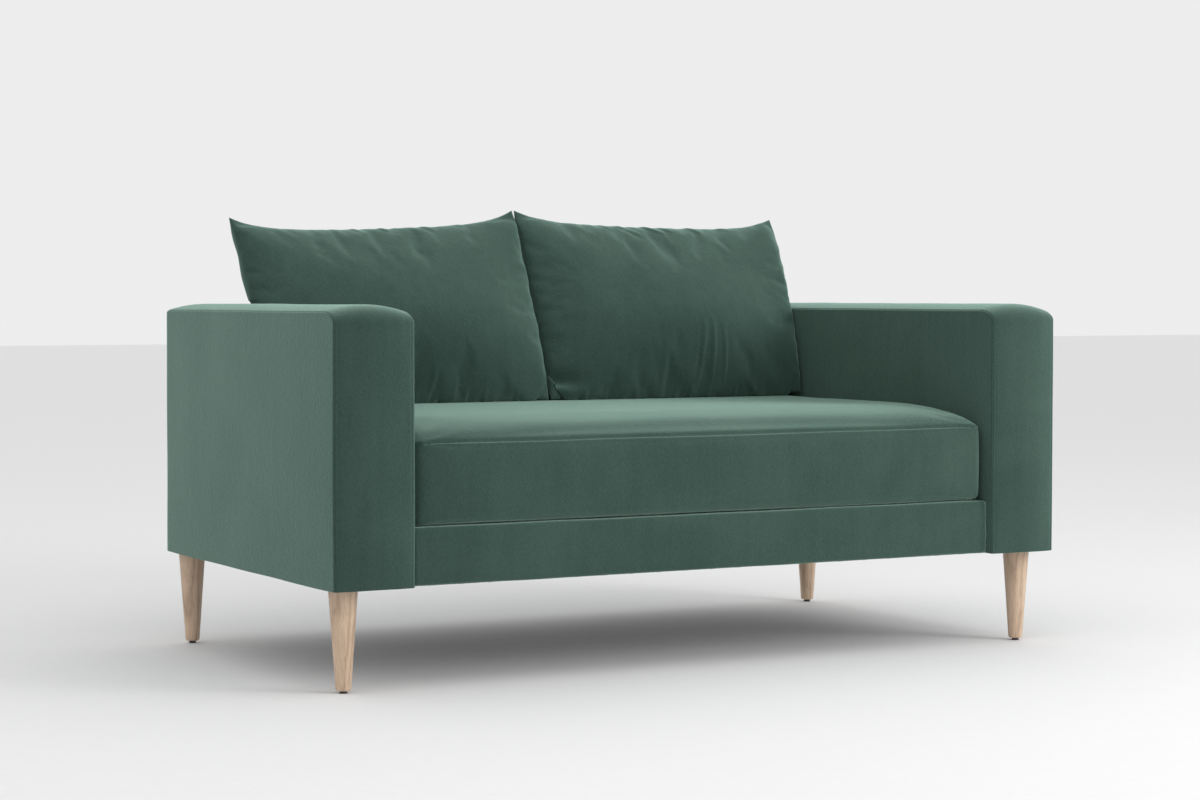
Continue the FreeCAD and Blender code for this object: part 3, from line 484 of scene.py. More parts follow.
def sewn_box(outline, c, seam_round, pull, swell, crown, closed, topstitch=None, growth=1.3):
    """Two panels and a band as one net. Returns the points as (a, b, c), the faces, and the seams' points.
    pull(a, b) is how deep the seam lies, swell(a, b, side) how far a panel stands out, and crown(a, b, share) how
    far the band does. topstitch(a, b) is the depth of a second line of stitches along the band beside each seam."""
    a, b = outline.grid()
    wide, deep = a.shape
    walk = rim(wide, deep, closed)
    normals = outline.normals(walk)
    away = np.maximum(outline.distance(a, b, closed), 0)
    shrink_a, shrink_b = a.copy(), b.copy()
    for at, normal in zip(walk, normals):
        shrink_a[at] -= normal[0] * TUCK * seam_round
        shrink_b[at] -= normal[1] * TUCK * seam_round
    fallen = fall(away + TUCK * seam_round, seam_round) + dip(away, pull(a, b), SEAM_WIDTH)
    points, faces, number = [], [], {}
    for side, face, way in (("low", c[0], 1), ("high", c[1], -1)):
        height = face + way * (fallen - swell(a, b, side))
        number[side] = len(points) + np.arange(wide * deep).reshape(wide, deep)
        faces += net_faces(wide, deep, len(points))
        points += zip(shrink_a.ravel(), shrink_b.ravel(), height.ravel())
    across = graded(c[0] + TUCK * seam_round, c[1] - TUCK * seam_round, 0.0009, growth, 0.012)
    near = np.minimum(across - c[0], c[1] - across)
    from_seam = near - TUCK * seam_round
    edge = fall(near, seam_round)
    rings = []
    for at, normal in zip(walk, normals):
        here = (a[at], b[at])
        out = crown(here[0], here[1], (across - c[0]) / (c[1] - c[0])) - edge
        out = out - dip(from_seam, pull(*here), SEAM_WIDTH)
        if topstitch:
            out = out - dip(from_seam - TOPSTITCH_AWAY, topstitch(*here), TOPSTITCH_WIDTH)
        ring = [number["low"][at]]
        for place, stand in zip(across[1:-1], out[1:-1]):
            ring.append(len(points))
            points.append((here[0] + normal[0] * stand, here[1] + normal[1] * stand, place))
        rings.append(ring + [number["high"][at]])
    following = rings[1:] + rings[:1] if closed else rings[1:]
    for ring, after in zip(rings, following):
        for step in range(len(ring) - 1):
            faces.append([ring[step], ring[step + 1], after[step + 1], after[step]])
    seams = {side: [number[side][at] for at in walk] for side in ("low", "high")}
    if not closed:
        seams["open"] = [*number["low"][:, 0], *rings[-1][1:-1], *number["high"][::-1, 0], *rings[0][-2:0:-1]]
    return np.array(points), faces, seams


def hem(points, faces, loop):
    """Turn the open edge of a sewn box under, and close the box above what covers its frame."""
    edge = points[loop]
    middle = (edge[:, [0, 2]].min(0) + edge[:, [0, 2]].max(0)) / 2
    reach = (edge[:, [0, 2]].max(0) - edge[:, [0, 2]].min(0)) / 2
    made = [list(loop)]
    for draw, level in HEM_TURNS:
        ring = edge.copy()
        limit = reach - HEM * draw
        ring[:, [0, 2]] = middle + np.clip(edge[:, [0, 2]] - middle, -limit, limit)
        ring[:, 1] = edge[:, 1] + level
        made.append(list(range(len(points), len(points) + len(ring))))
        points = np.vstack([points, ring])
    for outer, inner in zip(made, made[1:]):
        for step in range(len(loop)):
            after = (step + 1) % len(loop)
            faces.append([outer[step], outer[after], inner[after], inner[step]])
    return points, faces + [made[-1]]


def wobble(points, size, amount, seed):
    """Move each point a little, by smooth noise, because stuffed cloth is never quite even. Size is the length of
    its waves, and each piece has a seed of its own."""
    shift = Vector((seed * 7.3, seed * 3.1, seed * 1.7))
    moved = [noise.noise_vector(Vector(point) / size + shift) * amount for point in points]
    return points + np.array(moved)


print("the sewn box is ready")

# %% [markdown]
# ### From points to pieces
# Each net becomes a mesh whose faces look outwards, with its material. The finished piece rides on a body, and the
# CAD's solids that it stands for are hidden.

# %% Pieces from points
def new_piece(name, points, faces, material, flat=False):
    """A mesh object in metres, in the frame's own axes, shaded smooth unless it is flat."""
    mesh = bpy.data.meshes.new(name)
    mesh.from_pydata([tuple(map(float, point)) for point in points], [], [tuple(map(int, face)) for face in faces])
    box = bmesh.new()
    box.from_mesh(mesh)
    bmesh.ops.remove_doubles(box, verts=box.verts, dist=1e-6)
    bmesh.ops.recalc_face_normals(box, faces=box.faces)
    if box.calc_volume(signed=True) < 0:
        bmesh.ops.reverse_faces(box, faces=box.faces)
    box.to_mesh(mesh)
    box.free()
    if flat:
        mesh.shade_flat()
    else:
        mesh.shade_smooth()
    mesh.materials.append(material)
    piece = bpy.data.objects.new(name, mesh)
    scene.collection.objects.link(piece)
    return piece


def places_of(piece):
    """A piece's points as an array."""
    return np.array([vertex.co for vertex in piece.data.vertices])


def move_points(piece, points):
    """Give a piece's points new places."""
    piece.data.vertices.foreach_set("co", points.ravel())
    piece.data.update()


def upholster(piece, body, fill, *covered):
    """A padded piece in velvet, which rides on its body and stands for the CAD's plain solids."""
    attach(piece, body)
    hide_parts(*covered)
    return piece


def stretch_over(piece, node):
    """A flat sheet held stretched over the frame, in place of the CAD's."""
    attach(piece, "root")
    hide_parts(node)
    return piece


print("pieces are ready")

# %% [markdown]
# ## Arms
# Each arm is a slab of boards and foam. Its outer and inner panels are flat, and one band runs up the front, over
# the top and down the rear, crowned by the foam under it. The seam stands a little below the crown.

# %% Make the arms
ARM_CROWN = 0.012
ARM_CORNER = (0.045, 0.020)
FRONT_BULGE = 0.010
REAR_BULGE = 0.003
REAR_DRAW = 0.007
REAR_ROUND = {"outer": 0.036, "inner": 0.012}
REAR_FOOT = 0.016
PANEL_SWELL = {"outer": 0.0045, "inner": 0.0008}
SEAM_ROUND = 0.0045
SEAM_PULL = 0.0011
TOPSTITCH_DEPTH = 0.0008
LIFT_REACH = 0.05
FOOT_SHARE, FOOT_REACH = 0.55, 0.07
UNDER = 0.0012
ARM_WOBBLE = (0.16, 0.0010)


def round_rear(points, side, rear, bottom):
    """Round the upright edges at the rear, where the cloth is pulled round the frame with no seam."""
    x, y, z = points.T
    middle = (arm_low.x + arm_high.x) / 2 * SIDES[side]
    half = (arm_high.x - arm_low.x) / 2
    outer = (x - middle) * SIDES[side] > 0
    radius = np.where(outer, REAR_ROUND["outer"], REAR_ROUND["inner"])
    depth = np.clip((y - (rear - radius)) / radius, 0, 1)
    x = middle + (x - middle) * (1 - radius * (1 - np.sqrt(1 - depth ** 2)) / half)
    foot = np.clip(REAR_FOOT - (z - bottom), 0, REAR_FOOT)
    y = np.minimum(y, rear + REAR_BULGE - (REAR_FOOT - np.sqrt(REAR_FOOT ** 2 - foot ** 2)))
    return np.column_stack([x, y, z])


def arm(side):
    low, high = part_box(f"{side}_arm_cover")
    top, rear = high.z - ARM_CROWN, high.y - REAR_DRAW
    outline = Outline((low.y, rear), (low.z, top), high_round=ARM_CORNER)
    outer_face = "low" if side == "left" else "high"

    def swell(a, b, face):
        amount = PANEL_SWELL["outer" if face == outer_face else "inner"]
        return amount * (dome(a, low.y, high.y, 2.5) * dome(b, low.z - 0.2, top, 3)) ** 0.7

    def crown(a, b, share):
        arch = 1 - np.abs(2 * share - 1) ** 2
        lift = min(1.0, max(0.0, (b - (top - LIFT_REACH)) / LIFT_REACH))
        upright = FRONT_BULGE if a < 0 else REAR_BULGE
        foot = FOOT_SHARE + (1 - FOOT_SHARE) * min(1.0, (b - low.z) / FOOT_REACH)
        return (upright * foot * (1 - lift) + ARM_CROWN * lift) * arch

    def topstitch(a, b):
        return TOPSTITCH_DEPTH if a < low.y + 0.02 and b < top - 0.012 else 0.0

    def pull(a, b):
        return SEAM_PULL * np.clip((rear - 0.003 - a) / 0.02 + (b > top - 0.012), 0, 1)

    box = sewn_box(outline, (low.x, high.x), SEAM_ROUND, pull, swell, crown, False, topstitch, 1.16)
    points, faces = hem(box[0], box[1], box[2]["open"])
    points = round_rear(points[:, [2, 0, 1]], side, rear, low.z)
    points = wobble(points, *ARM_WOBBLE, SIDES[side] + 2)
    points[:, 2] = np.maximum(points[:, 2], low.z - UNDER)
    piece = new_piece(f"{side}_arm_upholstery", points, faces, velvet)
    covered = [f"{side}_arm_{part}" for part in ("cover", "outer_pad", "inner_pad", "band_pads")]
    return upholster(piece, "root", 0.95, *covered)


arms = [arm(side) for side in SIDES]
print("each arm has", len(arms[0].data.vertices), "points")

# %% [markdown]
# ## Backrest
# The backrest is the same kind of slab, lower and thinner, between the arms. It hides behind the loose cushions,
# but its rear panel is the sofa's whole back, so its seams and swelling matter.

# %% Make the backrest
BACK_CROWN = 0.004
BACK_SWELL = 0.005
BACK_CORNER = (0.012, 0.012)
FRONT_GAP, REAR_GAP, SIDE_GAP = 0.0012, 0.002, 0.001
BACK_WOBBLE = (0.2, 0.0014, 9)


def backrest():
    front, rear = back_low.y + FRONT_GAP, back_high.y - REAR_GAP
    top = back_high.z - BACK_CROWN
    outline = Outline((back_low.x + SIDE_GAP, back_high.x - SIDE_GAP), (back_low.z, top), high_round=BACK_CORNER)

    def swell(a, b, face):
        amount = BACK_SWELL if face == "high" else 0.0
        return amount * dome(a, back_low.x, back_high.x, 4) * dome(b, back_low.z, back_high.z, 3)

    def crown(a, b, share):
        lift = BACK_CROWN if b > top - 0.02 else 0.0
        return lift * (1 - np.abs(2 * share - 1) ** 2.5)

    def pull(a, b):
        return SEAM_PULL + 0 * a

    box = sewn_box(outline, (front, rear), SEAM_ROUND, pull, swell, crown, False)
    points, faces = hem(box[0], box[1], box[2]["open"])
    points = points[:, [0, 2, 1]]
    away = np.clip((points[:, 1] - front) / 0.02, 0.1, 1)[:, None]
    points = points + (wobble(points, *BACK_WOBBLE) - points) * away
    points[:, 2] = np.maximum(points[:, 2], back_low.z - UNDER)
    piece = new_piece("backrest_upholstery", points, faces, velvet)
    return upholster(piece, "root", 0.9, "back_cover", "back_front_pad", "back_rear_pad", "back_top_pad")


back = backrest()
print("the backrest has", len(back.data.vertices), "points")

# %% [markdown]
# ## Front rail and deck
# Between the arms, a padded strip of velvet covers the front rail and laps over its top. Behind the lap lies the
# deck: a plain cloth stretched over the springs, which shows when the seat cushion is lifted off.

# %% Make the front rail's cover
RAIL_ROUND = 0.006
RAIL_SWELL = 0.002
RAIL_LAP = 0.012
VELVET_THICK = 0.0018
END_GAP = 0.0005
RAIL_WOBBLE = (0.13, 0.0010, 5)


def front_rail():
    front, rear = rail_low.y, rail_high.y
    bottom, top = rail_low.z, rail_high.z
    foot = bottom - 0.0006
    quarter = np.linspace(0, math.pi / 2, 7)
    corner = [(RAIL_ROUND * (1 - math.cos(t)), RAIL_ROUND * math.sin(t)) for t in quarter]
    section = [(front + RAIL_LAP, bottom + HEM_RISE), (front + RAIL_LAP, foot)]
    section += [(front + RAIL_ROUND - rise, foot + run) for run, rise in corner]
    for z in np.linspace(bottom + RAIL_ROUND, top - RAIL_ROUND, 16)[1:-1]:
        section.append((front - RAIL_SWELL * dome(z, bottom, top, 2.4), z))
    section += [(front + run, top - RAIL_ROUND + rise) for run, rise in corner]
    section += [(y, top) for y in np.linspace(front + RAIL_ROUND + 0.004, rear, 5)]
    section += [(rear, top - VELVET_THICK), (front + RAIL_LAP, top - VELVET_THICK)]
    columns = np.linspace(rail_low.x + END_GAP, rail_high.x - END_GAP, 110)
    points = wobble(np.array([(x, y, z) for x in columns for y, z in section]), *RAIL_WOBBLE)
    piece = new_piece("front_rail_upholstery", points, tube_faces(len(columns), len(section)), velvet)
    return upholster(piece, "root", 0.9, "front_rail_cover", "front_rail_pad")


rail = front_rail()
print("the front rail's cover has", len(rail.data.vertices), "points")

# %% Make the deck
DECK_SAG = 0.0016
SPRING_GAPS = 9


def deck():
    low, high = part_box("deck_cloth")
    columns = np.linspace(low.x + END_GAP, high.x - END_GAP, 120)
    rows = np.linspace(low.y, high.y, 60)
    springs_low, springs_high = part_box("seat_springs")
    points = []
    for level in (high.z - 0.0003, low.z):
        for x in columns:
            share = (x - springs_low.x) / (springs_high.x - springs_low.x)
            wave = 0.6 - 0.4 * math.cos(share * SPRING_GAPS * 2 * math.pi)
            for y in rows:
                inside = dome(y, low.y, high.y, 6) * dome(x, low.x, high.x, 20)
                points.append((x, y, level - DECK_SAG * inside * wave))
    weave_material = FINISH_OF_SLOT["deck_cloth"]
    piece = new_piece("seat_deck_cloth", points, sheet_faces(len(columns), len(rows)), weave_material)
    return stretch_over(piece, "deck_cloth")


seat_deck = deck()
print("the deck has", len(seat_deck.data.vertices), "points")

# %% [markdown]
# ## Swelling by simulation
# Stuffing pushes a cover outwards evenly, and the cloth answers by stretching a little and folding where it has
# too much. Blender's Cloth with pressure does just this. Seams are held where they are, because they are the
# stiffest part of a cover. It runs for a few frames without gravity, and its result becomes the mesh.

# %% The simulation
def swell_cloth(piece, pressure, frames, seams, cap=None, tension=18.0, bending=0.25, spare=0.0):
    """Inflate the piece by Cloth and keep the result as its mesh. Spare is how much longer the cloth is cut."""
    start = places_of(piece)
    cloth = piece.modifiers.new("swell", "CLOTH")
    settings = cloth.settings
    settings.quality = 5
    settings.mass = 0.3
    settings.tension_stiffness = settings.compression_stiffness = tension
    settings.shear_stiffness = tension / 3
    settings.bending_stiffness = bending
    settings.shrink_min = -spare
    settings.use_pressure = True
    settings.uniform_pressure_force = pressure
    settings.effector_weights.gravity = 0
    held = piece.vertex_groups.new(name="seams")
    held.add([int(member) for member in seams], 1.0, "REPLACE")
    settings.vertex_group_mass = held.name
    cloth.collision_settings.use_collision = False
    cloth.point_cache.frame_start = 1
    cloth.point_cache.frame_end = frames
    for number in range(1, frames + 1):
        scene.frame_set(number)
    swollen = piece.evaluated_get(bpy.context.evaluated_depsgraph_get())
    end = np.array([vertex.co for vertex in swollen.to_mesh().vertices])
    swollen.to_mesh_clear()
    piece.modifiers.remove(cloth)
    piece.vertex_groups.remove(held)
    scene.frame_set(1)
    move = end - start
    length = np.linalg.norm(move, axis=1)
    if cap:
        move *= np.minimum(1, cap / np.maximum(length, 1e-9))[:, None]
    move_points(piece, start + move)
    return float(length.max())


print("cloth is ready")

# %% [markdown]
# ## Seat cushion
# One bench cushion fills the seat. Its top is crowned, highest behind the middle, and falls to a straight seam
# along the front. The boxing between the seams bulges a little. The shape starts crowned and slightly small, and
# the simulation fills it, with the seams held. Then the corners and the ends droop, and the foot is rounded.

# %% Make the seat cushion
SEAM_DROP = 0.037
SEAT_CORNERS = ((0.024, 0.024), (0.022, 0.022))
SEAT_SEAM_ROUND, SEAT_SEAM_PULL = 0.0035, 0.0020
FRONT_SWELL = 0.006
CORNER_DROOP, CORNER_REACH, CORNER_FROM = 0.003, 0.075, 0.7
END_DROOP, END_REACH = 0.007, 0.024
ROLL, ROLL_ABOVE, ROLL_HIGH = 0.0026, 0.0045, 0.003
AT_EDGE, AT_FRONT = 0.03, 0.012
FOOT_ROUND, FOOT_SIDE, FOOT_FRONT = 0.013, 0.4, 0.7
STEEP, STEEP_REACH, SLOW, SLOW_REACH = 0.22, 0.008, 0.78, 0.080
REAR_REACH, END_ROUND = 0.10, 0.038
ARM_GAP, ZIP_GAP, DECK_GAP, LIP = 0.0010, 0.0004, 0.0012, 0.001
SEAT_WOBBLE = (0.17, 0.0010, 4)


def settle(piece, half, front, rear, bottom, top):
    """Let the corners and the ends droop, roll the edge over the front seam and round the foot."""
    for vertex in piece.data.vertices:
        place = vertex.co
        beside, behind = half - abs(place.x), place.y - front
        high = (place.z - bottom) / (top - bottom)
        corner = math.hypot(max(0, CORNER_REACH - beside), max(0, CORNER_REACH - behind)) / CORNER_REACH
        droop = CORNER_DROOP * (min(max(corner - CORNER_FROM, 0.0), CORNER_FROM) / CORNER_FROM) ** 2 * high
        droop += END_DROOP * max(0.0, 1 - beside / END_REACH) ** 2 * min(high, 1)
        place.y -= ROLL * math.exp(-((place.z - top - ROLL_ABOVE) / ROLL_HIGH) ** 2) * (behind < AT_EDGE)
        place.z = min(max(place.z - droop, bottom - 0.0005), seat_high.z)
        under = 1 - min((place.z - bottom) / FOOT_ROUND, 1.0)
        place.x -= math.copysign(FOOT_SIDE, place.x) * FOOT_ROUND * under ** 2 * (beside < AT_EDGE)
        place.y += FOOT_FRONT * FOOT_ROUND * under ** 2 * (place.y < front + AT_FRONT)
        place.x = min(max(place.x, -half), half)
        place.y = min(place.y, rear)
    piece.data.update()


def seat_cushion():
    half = seat_high.x - ARM_GAP
    front, rear = seat_low.y + FRONT_SWELL - LIP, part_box("seat_zip")[0].y - ZIP_GAP
    bottom, top = seat_low.z + DECK_GAP, seat_high.z - SEAM_DROP
    outline = Outline((-half, half), (front, rear), *SEAT_CORNERS)

    def swell(a, b, side):
        if side == "low":
            return 0 * a
        inward = np.maximum(b - front, 0)
        rise = STEEP * (1 - np.exp(-inward / STEEP_REACH)) + SLOW * (1 - np.exp(-inward / SLOW_REACH))
        back_fall = 1 - np.clip(1 - (rear - b) / REAR_REACH, 0, 1) ** 2
        ends = 1 - np.clip(1 - (half - np.abs(a)) / END_ROUND, 0, 1) ** 2.3
        return SEAM_DROP * rise * back_fall * ends

    def crown(a, b, share):
        at_rear = min(1.0, max(0.0, (rear - 0.02 - b) / 0.05))
        at_end = 0.15 if abs(a) > half - 0.0005 else 0.25 + 0.75 * min(1.0, (half - abs(a)) / 0.08)
        return FRONT_SWELL * at_rear * at_end * (1 - np.abs(2 * share - 1) ** 2.4)

    def pull(a, b):
        return SEAT_SEAM_PULL + 0 * a

    points, faces, seams = sewn_box(outline, (bottom, top), SEAT_SEAM_ROUND, pull, swell, crown, True)
    piece = new_piece("seat_cushion", wobble(points, *SEAT_WOBBLE), faces, velvet)
    moved = swell_cloth(piece, 0.5, 10, seams["low"] + seams["high"], cap=0.004)
    print("the seat cushion swelled by", round(moved * 1000, 1), "mm")
    settle(piece, half, front, rear, bottom, top)
    return upholster(piece, "seat_cushion", 0.8, "seat_cover", "seat_core")


seat = seat_cushion()
print("the seat cushion has", len(seat.data.vertices), "points")

# %% [markdown]
# ## Back cushions
# A back cushion is two equal panels sewn together all round, with nothing between them but the seam: a knife
# edge. When it is stuffed, its middle grows thick, its sides draw in and its corners stay out as ears. The seam is
# drawn first, already pulled in. The panels start nearly flat inside it, cut a little too large. The simulation
# blows them up, and the spare cloth has to fold, as it does along every tight seam. Modelling each fold by hand
# would take longer and look stiffer. A few folds that sitting has pressed in are added afterwards.

# %% The seam's outline
LEAN = math.radians(23.5)
CUSHION_TALL = 0.402
EAR_SPREAD = 0.031
EAR_LIFT = {"left": (-0.018, 0.008), "right": (0.008, -0.004)}
TOP_DRAW, BOTTOM_DRAW = {"left": 0.034, "right": 0.030}, 0.003
SIDE_DRAW, SIDE_WAVES = 0.0006, 9
INNER_GAP, OUTER_GAP = 0.0004, 0.006


def drawn_in(share, amount):
    """How far a seam is pulled in at a share from -1 to 1 along it. It's nothing at the ears."""
    share = np.abs(share)
    return amount * (1 - share ** 7) * (0.72 + 0.28 * (1 - share ** 2))


def seam_plane(side, across, up):
    """Where a point of the flat bag lies in the cushion's own plane, from shares from -1 to 1."""
    tall = (up + 1) / 2
    inner, outer = INNER_GAP, seat_high.x - OUTER_GAP + EAR_SPREAD * tall
    middle, half = (inner + outer) / 2, (outer - inner) / 2
    a = SIDES[side] * middle + across * (half - drawn_in(up, SIDE_DRAW * (1 + np.cos(up * SIDE_WAVES))))
    low_x, high_x = EAR_LIFT[side]
    top = CUSHION_TALL - drawn_in(across, TOP_DRAW[side])
    top = top + low_x * (1 - across) / 2 * tall + high_x * (1 + across) / 2
    bottom = drawn_in(across, BOTTOM_DRAW)
    return a, bottom + (top - bottom) * tall


print("the left cushion's upper ears:", [np.round(seam_plane("left", x, 1.0), 3) for x in (-1.0, 1.0)])

# %% Cut and sew the bag
ACROSS, UP = graded(-1, 1, 0.018, 1.25, 0.024), graded(-1, 1, 0.027, 1.25, 0.036)
FLAT_HEIGHT = 0.055
UNEVEN, UNEVEN_WAVES = 0.0016, 18
SIDE_PUSH, TOP_PUSH, PUSH_REACH = 0.93, 0.35, 0.033


def bag(side):
    """Two panels that share their seam. Returns the piece, flat, its panels' points and its seam's points."""
    across, up = np.meshgrid(ACROSS, UP, indexing="ij")
    a, b = seam_plane(side, across, up)
    wide, tall = across.shape
    seam = np.zeros(across.shape, bool)
    seam[[0, -1], :] = seam[:, [0, -1]] = True
    start = FLAT_HEIGHT * ((1 - np.abs(across) ** 2.5) * (1 - np.abs(up) ** 2.5)) ** 0.5
    first = np.arange(wide * tall).reshape(wide, tall)
    second = first.copy()
    second[~seam] = np.arange(wide * tall, wide * tall + (~seam).sum())
    points, faces = [], []
    for way, numbers in ((1, first), (-1, second)):
        for at in np.ndindex(wide, tall):
            if way < 0 and seam[at]:
                continue
            place = (a[at] * UNEVEN_WAVES, b[at] * UNEVEN_WAVES, SIDES[side] * 4.0 + way)
            uneven = UNEVEN * noise.noise(Vector(place))
            points.append((a[at], b[at], 0.0 if seam[at] else way * (start[at] + uneven)))
        for x in range(wide - 1):
            for y in range(tall - 1):
                faces.append([numbers[x, y], numbers[x + 1, y], numbers[x + 1, y + 1], numbers[x, y + 1]][::way])
    piece = new_piece(f"{side}_back_cushion", points, faces, velvet)
    return piece, (first, second), [int(number) for number in first[seam]]


def turned_sharply(place, panels):
    """Push the cloth beside the side seams outwards, and a little beside the top one, so that it turns sharply."""
    result = place.copy()
    for panel in panels:
        a, b = place[panel, 0], place[panel, 1]
        low, high, top, bottom = a - a[:1], a[-1:] - a, b[:, -1:] - b, b - b[:, :1]
        pushes = [much * gap * np.exp(-(np.clip(gap, 0, None) / PUSH_REACH) ** 1.5)
                  for much, gap in ((SIDE_PUSH, low), (SIDE_PUSH, high), (TOP_PUSH, top))]
        beside = np.clip(np.minimum(top, bottom * 0.6) / 0.03, 0, 1)
        above = np.clip(np.minimum(low, high) / 0.03, 0, 1)
        result[panel, 0] = a + (pushes[1] - pushes[0]) * beside
        result[panel, 1] = b + pushes[2] * above
    return result


def divided(piece):
    """Apply one subdivision and return the finer points."""
    finer = piece.modifiers.new("finer", "SUBSURF")
    finer.levels = 1
    mesh = bpy.data.meshes.new_from_object(piece.evaluated_get(bpy.context.evaluated_depsgraph_get()))
    piece.modifiers.remove(finer)
    piece.data = mesh
    return places_of(piece)


print("a bag is cut from panels of", len(ACROSS), "by", len(UP), "points")

# %% [markdown]
# ### Pressed folds
# A fold is a soft ridge with a hollow beside it. Each one is a short line in the cushion's plane, with a width
# and a height. The upper folds slant, because the filling has slid down; the lower ones stand upright.

# %% Folds
def fold(points, start, end, width, height):
    """Raise one ridge along a line on the front panel, and sink the cloth on both its sides."""
    line = np.array(end) - np.array(start)
    length = np.linalg.norm(line)
    offset = points[:, :2] - np.array(start)
    along = offset @ line / length ** 2
    aside = (offset @ np.array([-line[1], line[0]]) / length) / width
    fade = np.clip(1 - np.abs(2 * along - 1) ** 2.5, 0, 1)
    shape = (1 - 1.3 * aside ** 2) * np.exp(-aside ** 2)
    return np.where(points[:, 2] > 0.004, height * fade * shape, 0.0)


# start and end in shares of the width and the height, then width and height in metres
UPPER_FOLDS = [((0.36, 0.97), (0.46, 0.84), 0.0075, 0.0030), ((0.44, 0.98), (0.56, 0.86), 0.0070, 0.0034),
               ((0.52, 0.97), (0.60, 0.87), 0.0060, 0.0022), ((0.61, 0.98), (0.72, 0.87), 0.0080, 0.0030),
               ((0.74, 0.98), (0.84, 0.90), 0.0080, 0.0022), ((0.30, 0.96), (0.36, 0.88), 0.0080, 0.0018)]
LOWER_FOLDS = {
    "right": [((0.56, 0.10), (0.585, 0.34), 0.0075, 0.0024), ((0.61, 0.08), (0.62, 0.36), 0.0065, 0.0026),
              ((0.665, 0.07), (0.66, 0.33), 0.0065, 0.0024), ((0.42, 0.06), (0.43, 0.28), 0.0120, 0.0016),
              ((0.80, 0.06), (0.78, 0.24), 0.0110, 0.0018)],
    "left": [((0.44, 0.05), (0.45, 0.22), 0.0080, 0.0020), ((0.58, 0.05), (0.60, 0.20), 0.0090, 0.0020),
             ((0.67, 0.04), (0.68, 0.16), 0.0080, 0.0018)]}
PUCKERS = [(0.12, 0.0022), (0.20, 0.0014), (0.47, 0.0018), (0.53, 0.0024), (0.60, 0.0020), (0.71, 0.0022),
           (0.78, 0.0014), (0.90, 0.0016)]
print(len(UPPER_FOLDS), "upper folds and", len(PUCKERS), "puckers")

# %% Stuff the cushions
FRONT_FULL, REAR_FULL = 0.88, 0.78
LOW_FULL, LOW_UP, LOW_WIDE = 0.24, 0.12, 0.10
PUCKER_SLANT, PUCKER_TALL, PUCKER_WIDE = 0.004, 0.045, 0.0065


def stuffed(side):
    """The cushion's piece and its points in its own plane: across, up and out."""
    piece, panels, seams = bag(side)
    moved = swell_cloth(piece, 2.0, 22, seams, tension=25.0, bending=0.2, spare=0.015)
    thick = np.ptp(places_of(piece)[:, 2])
    print(f"the {side} back cushion swelled by", round(moved * 1000), "mm to", round(float(thick), 3), "m")
    place = places_of(piece) * (1, 1, 1)
    move_points(piece, turned_sharply(place, panels))
    place = divided(piece)
    inner, wide = place[:, 0].min(), seat_high.x
    folds = [((inner + start[0] * wide, start[1] * CUSHION_TALL), (inner + end[0] * wide, end[1] * CUSHION_TALL),
              width, height) for start, end, width, height in UPPER_FOLDS + LOWER_FOLDS[side]]
    folds += [((inner + share * wide, 0.0), (inner + share * wide + PUCKER_SLANT, PUCKER_TALL), PUCKER_WIDE, height)
              for share, height in PUCKERS]
    place[:, 2] += sum(fold(place, *each) for each in folds)
    return piece, place


print("a cushion is filled to", FRONT_FULL, "of its swollen depth in front and", REAR_FULL, "behind")

# %% [markdown]
# ### Standing on the seat
# A loose cushion leans on the backrest and rests on its foot, where its weight spreads the cloth. The right one
# also has a crease at its inner foot, where the filling doesn't reach the corner.

# %% Stand the cushions on the seat
ZIP_HALF, ZIP_DEPTH = 0.008, 0.0012
SAG_REACH, SAG_DEPTH, SAG_GROWTH = 0.17, 0.022, 1.15
EDGE_BEND, BEND_FROM, BEND_WIDE, BEND_TALL = 0.018, 0.50, 0.09, 0.16
CORNER_SAG = 0.009
ARM_CLEAR, BACK_CLEAR, SEAT_CLEAR = 0.003, 0.0005, 0.0006
CREASE, CREASE_UP, CREASE_WIDE, CREASE_LONG = 0.8, 0.052, 0.011, 0.045
RIDGE, RIDGE_UP, RIDGE_WIDE = 0.35, 0.032, 0.009
seat_top = BVHTree.FromObject(seat, bpy.context.evaluated_depsgraph_get())


def bell(places, middle, width):
    """1 at the middle, and a smooth fall on both sides."""
    return np.exp(-((places - middle) / width) ** 2)


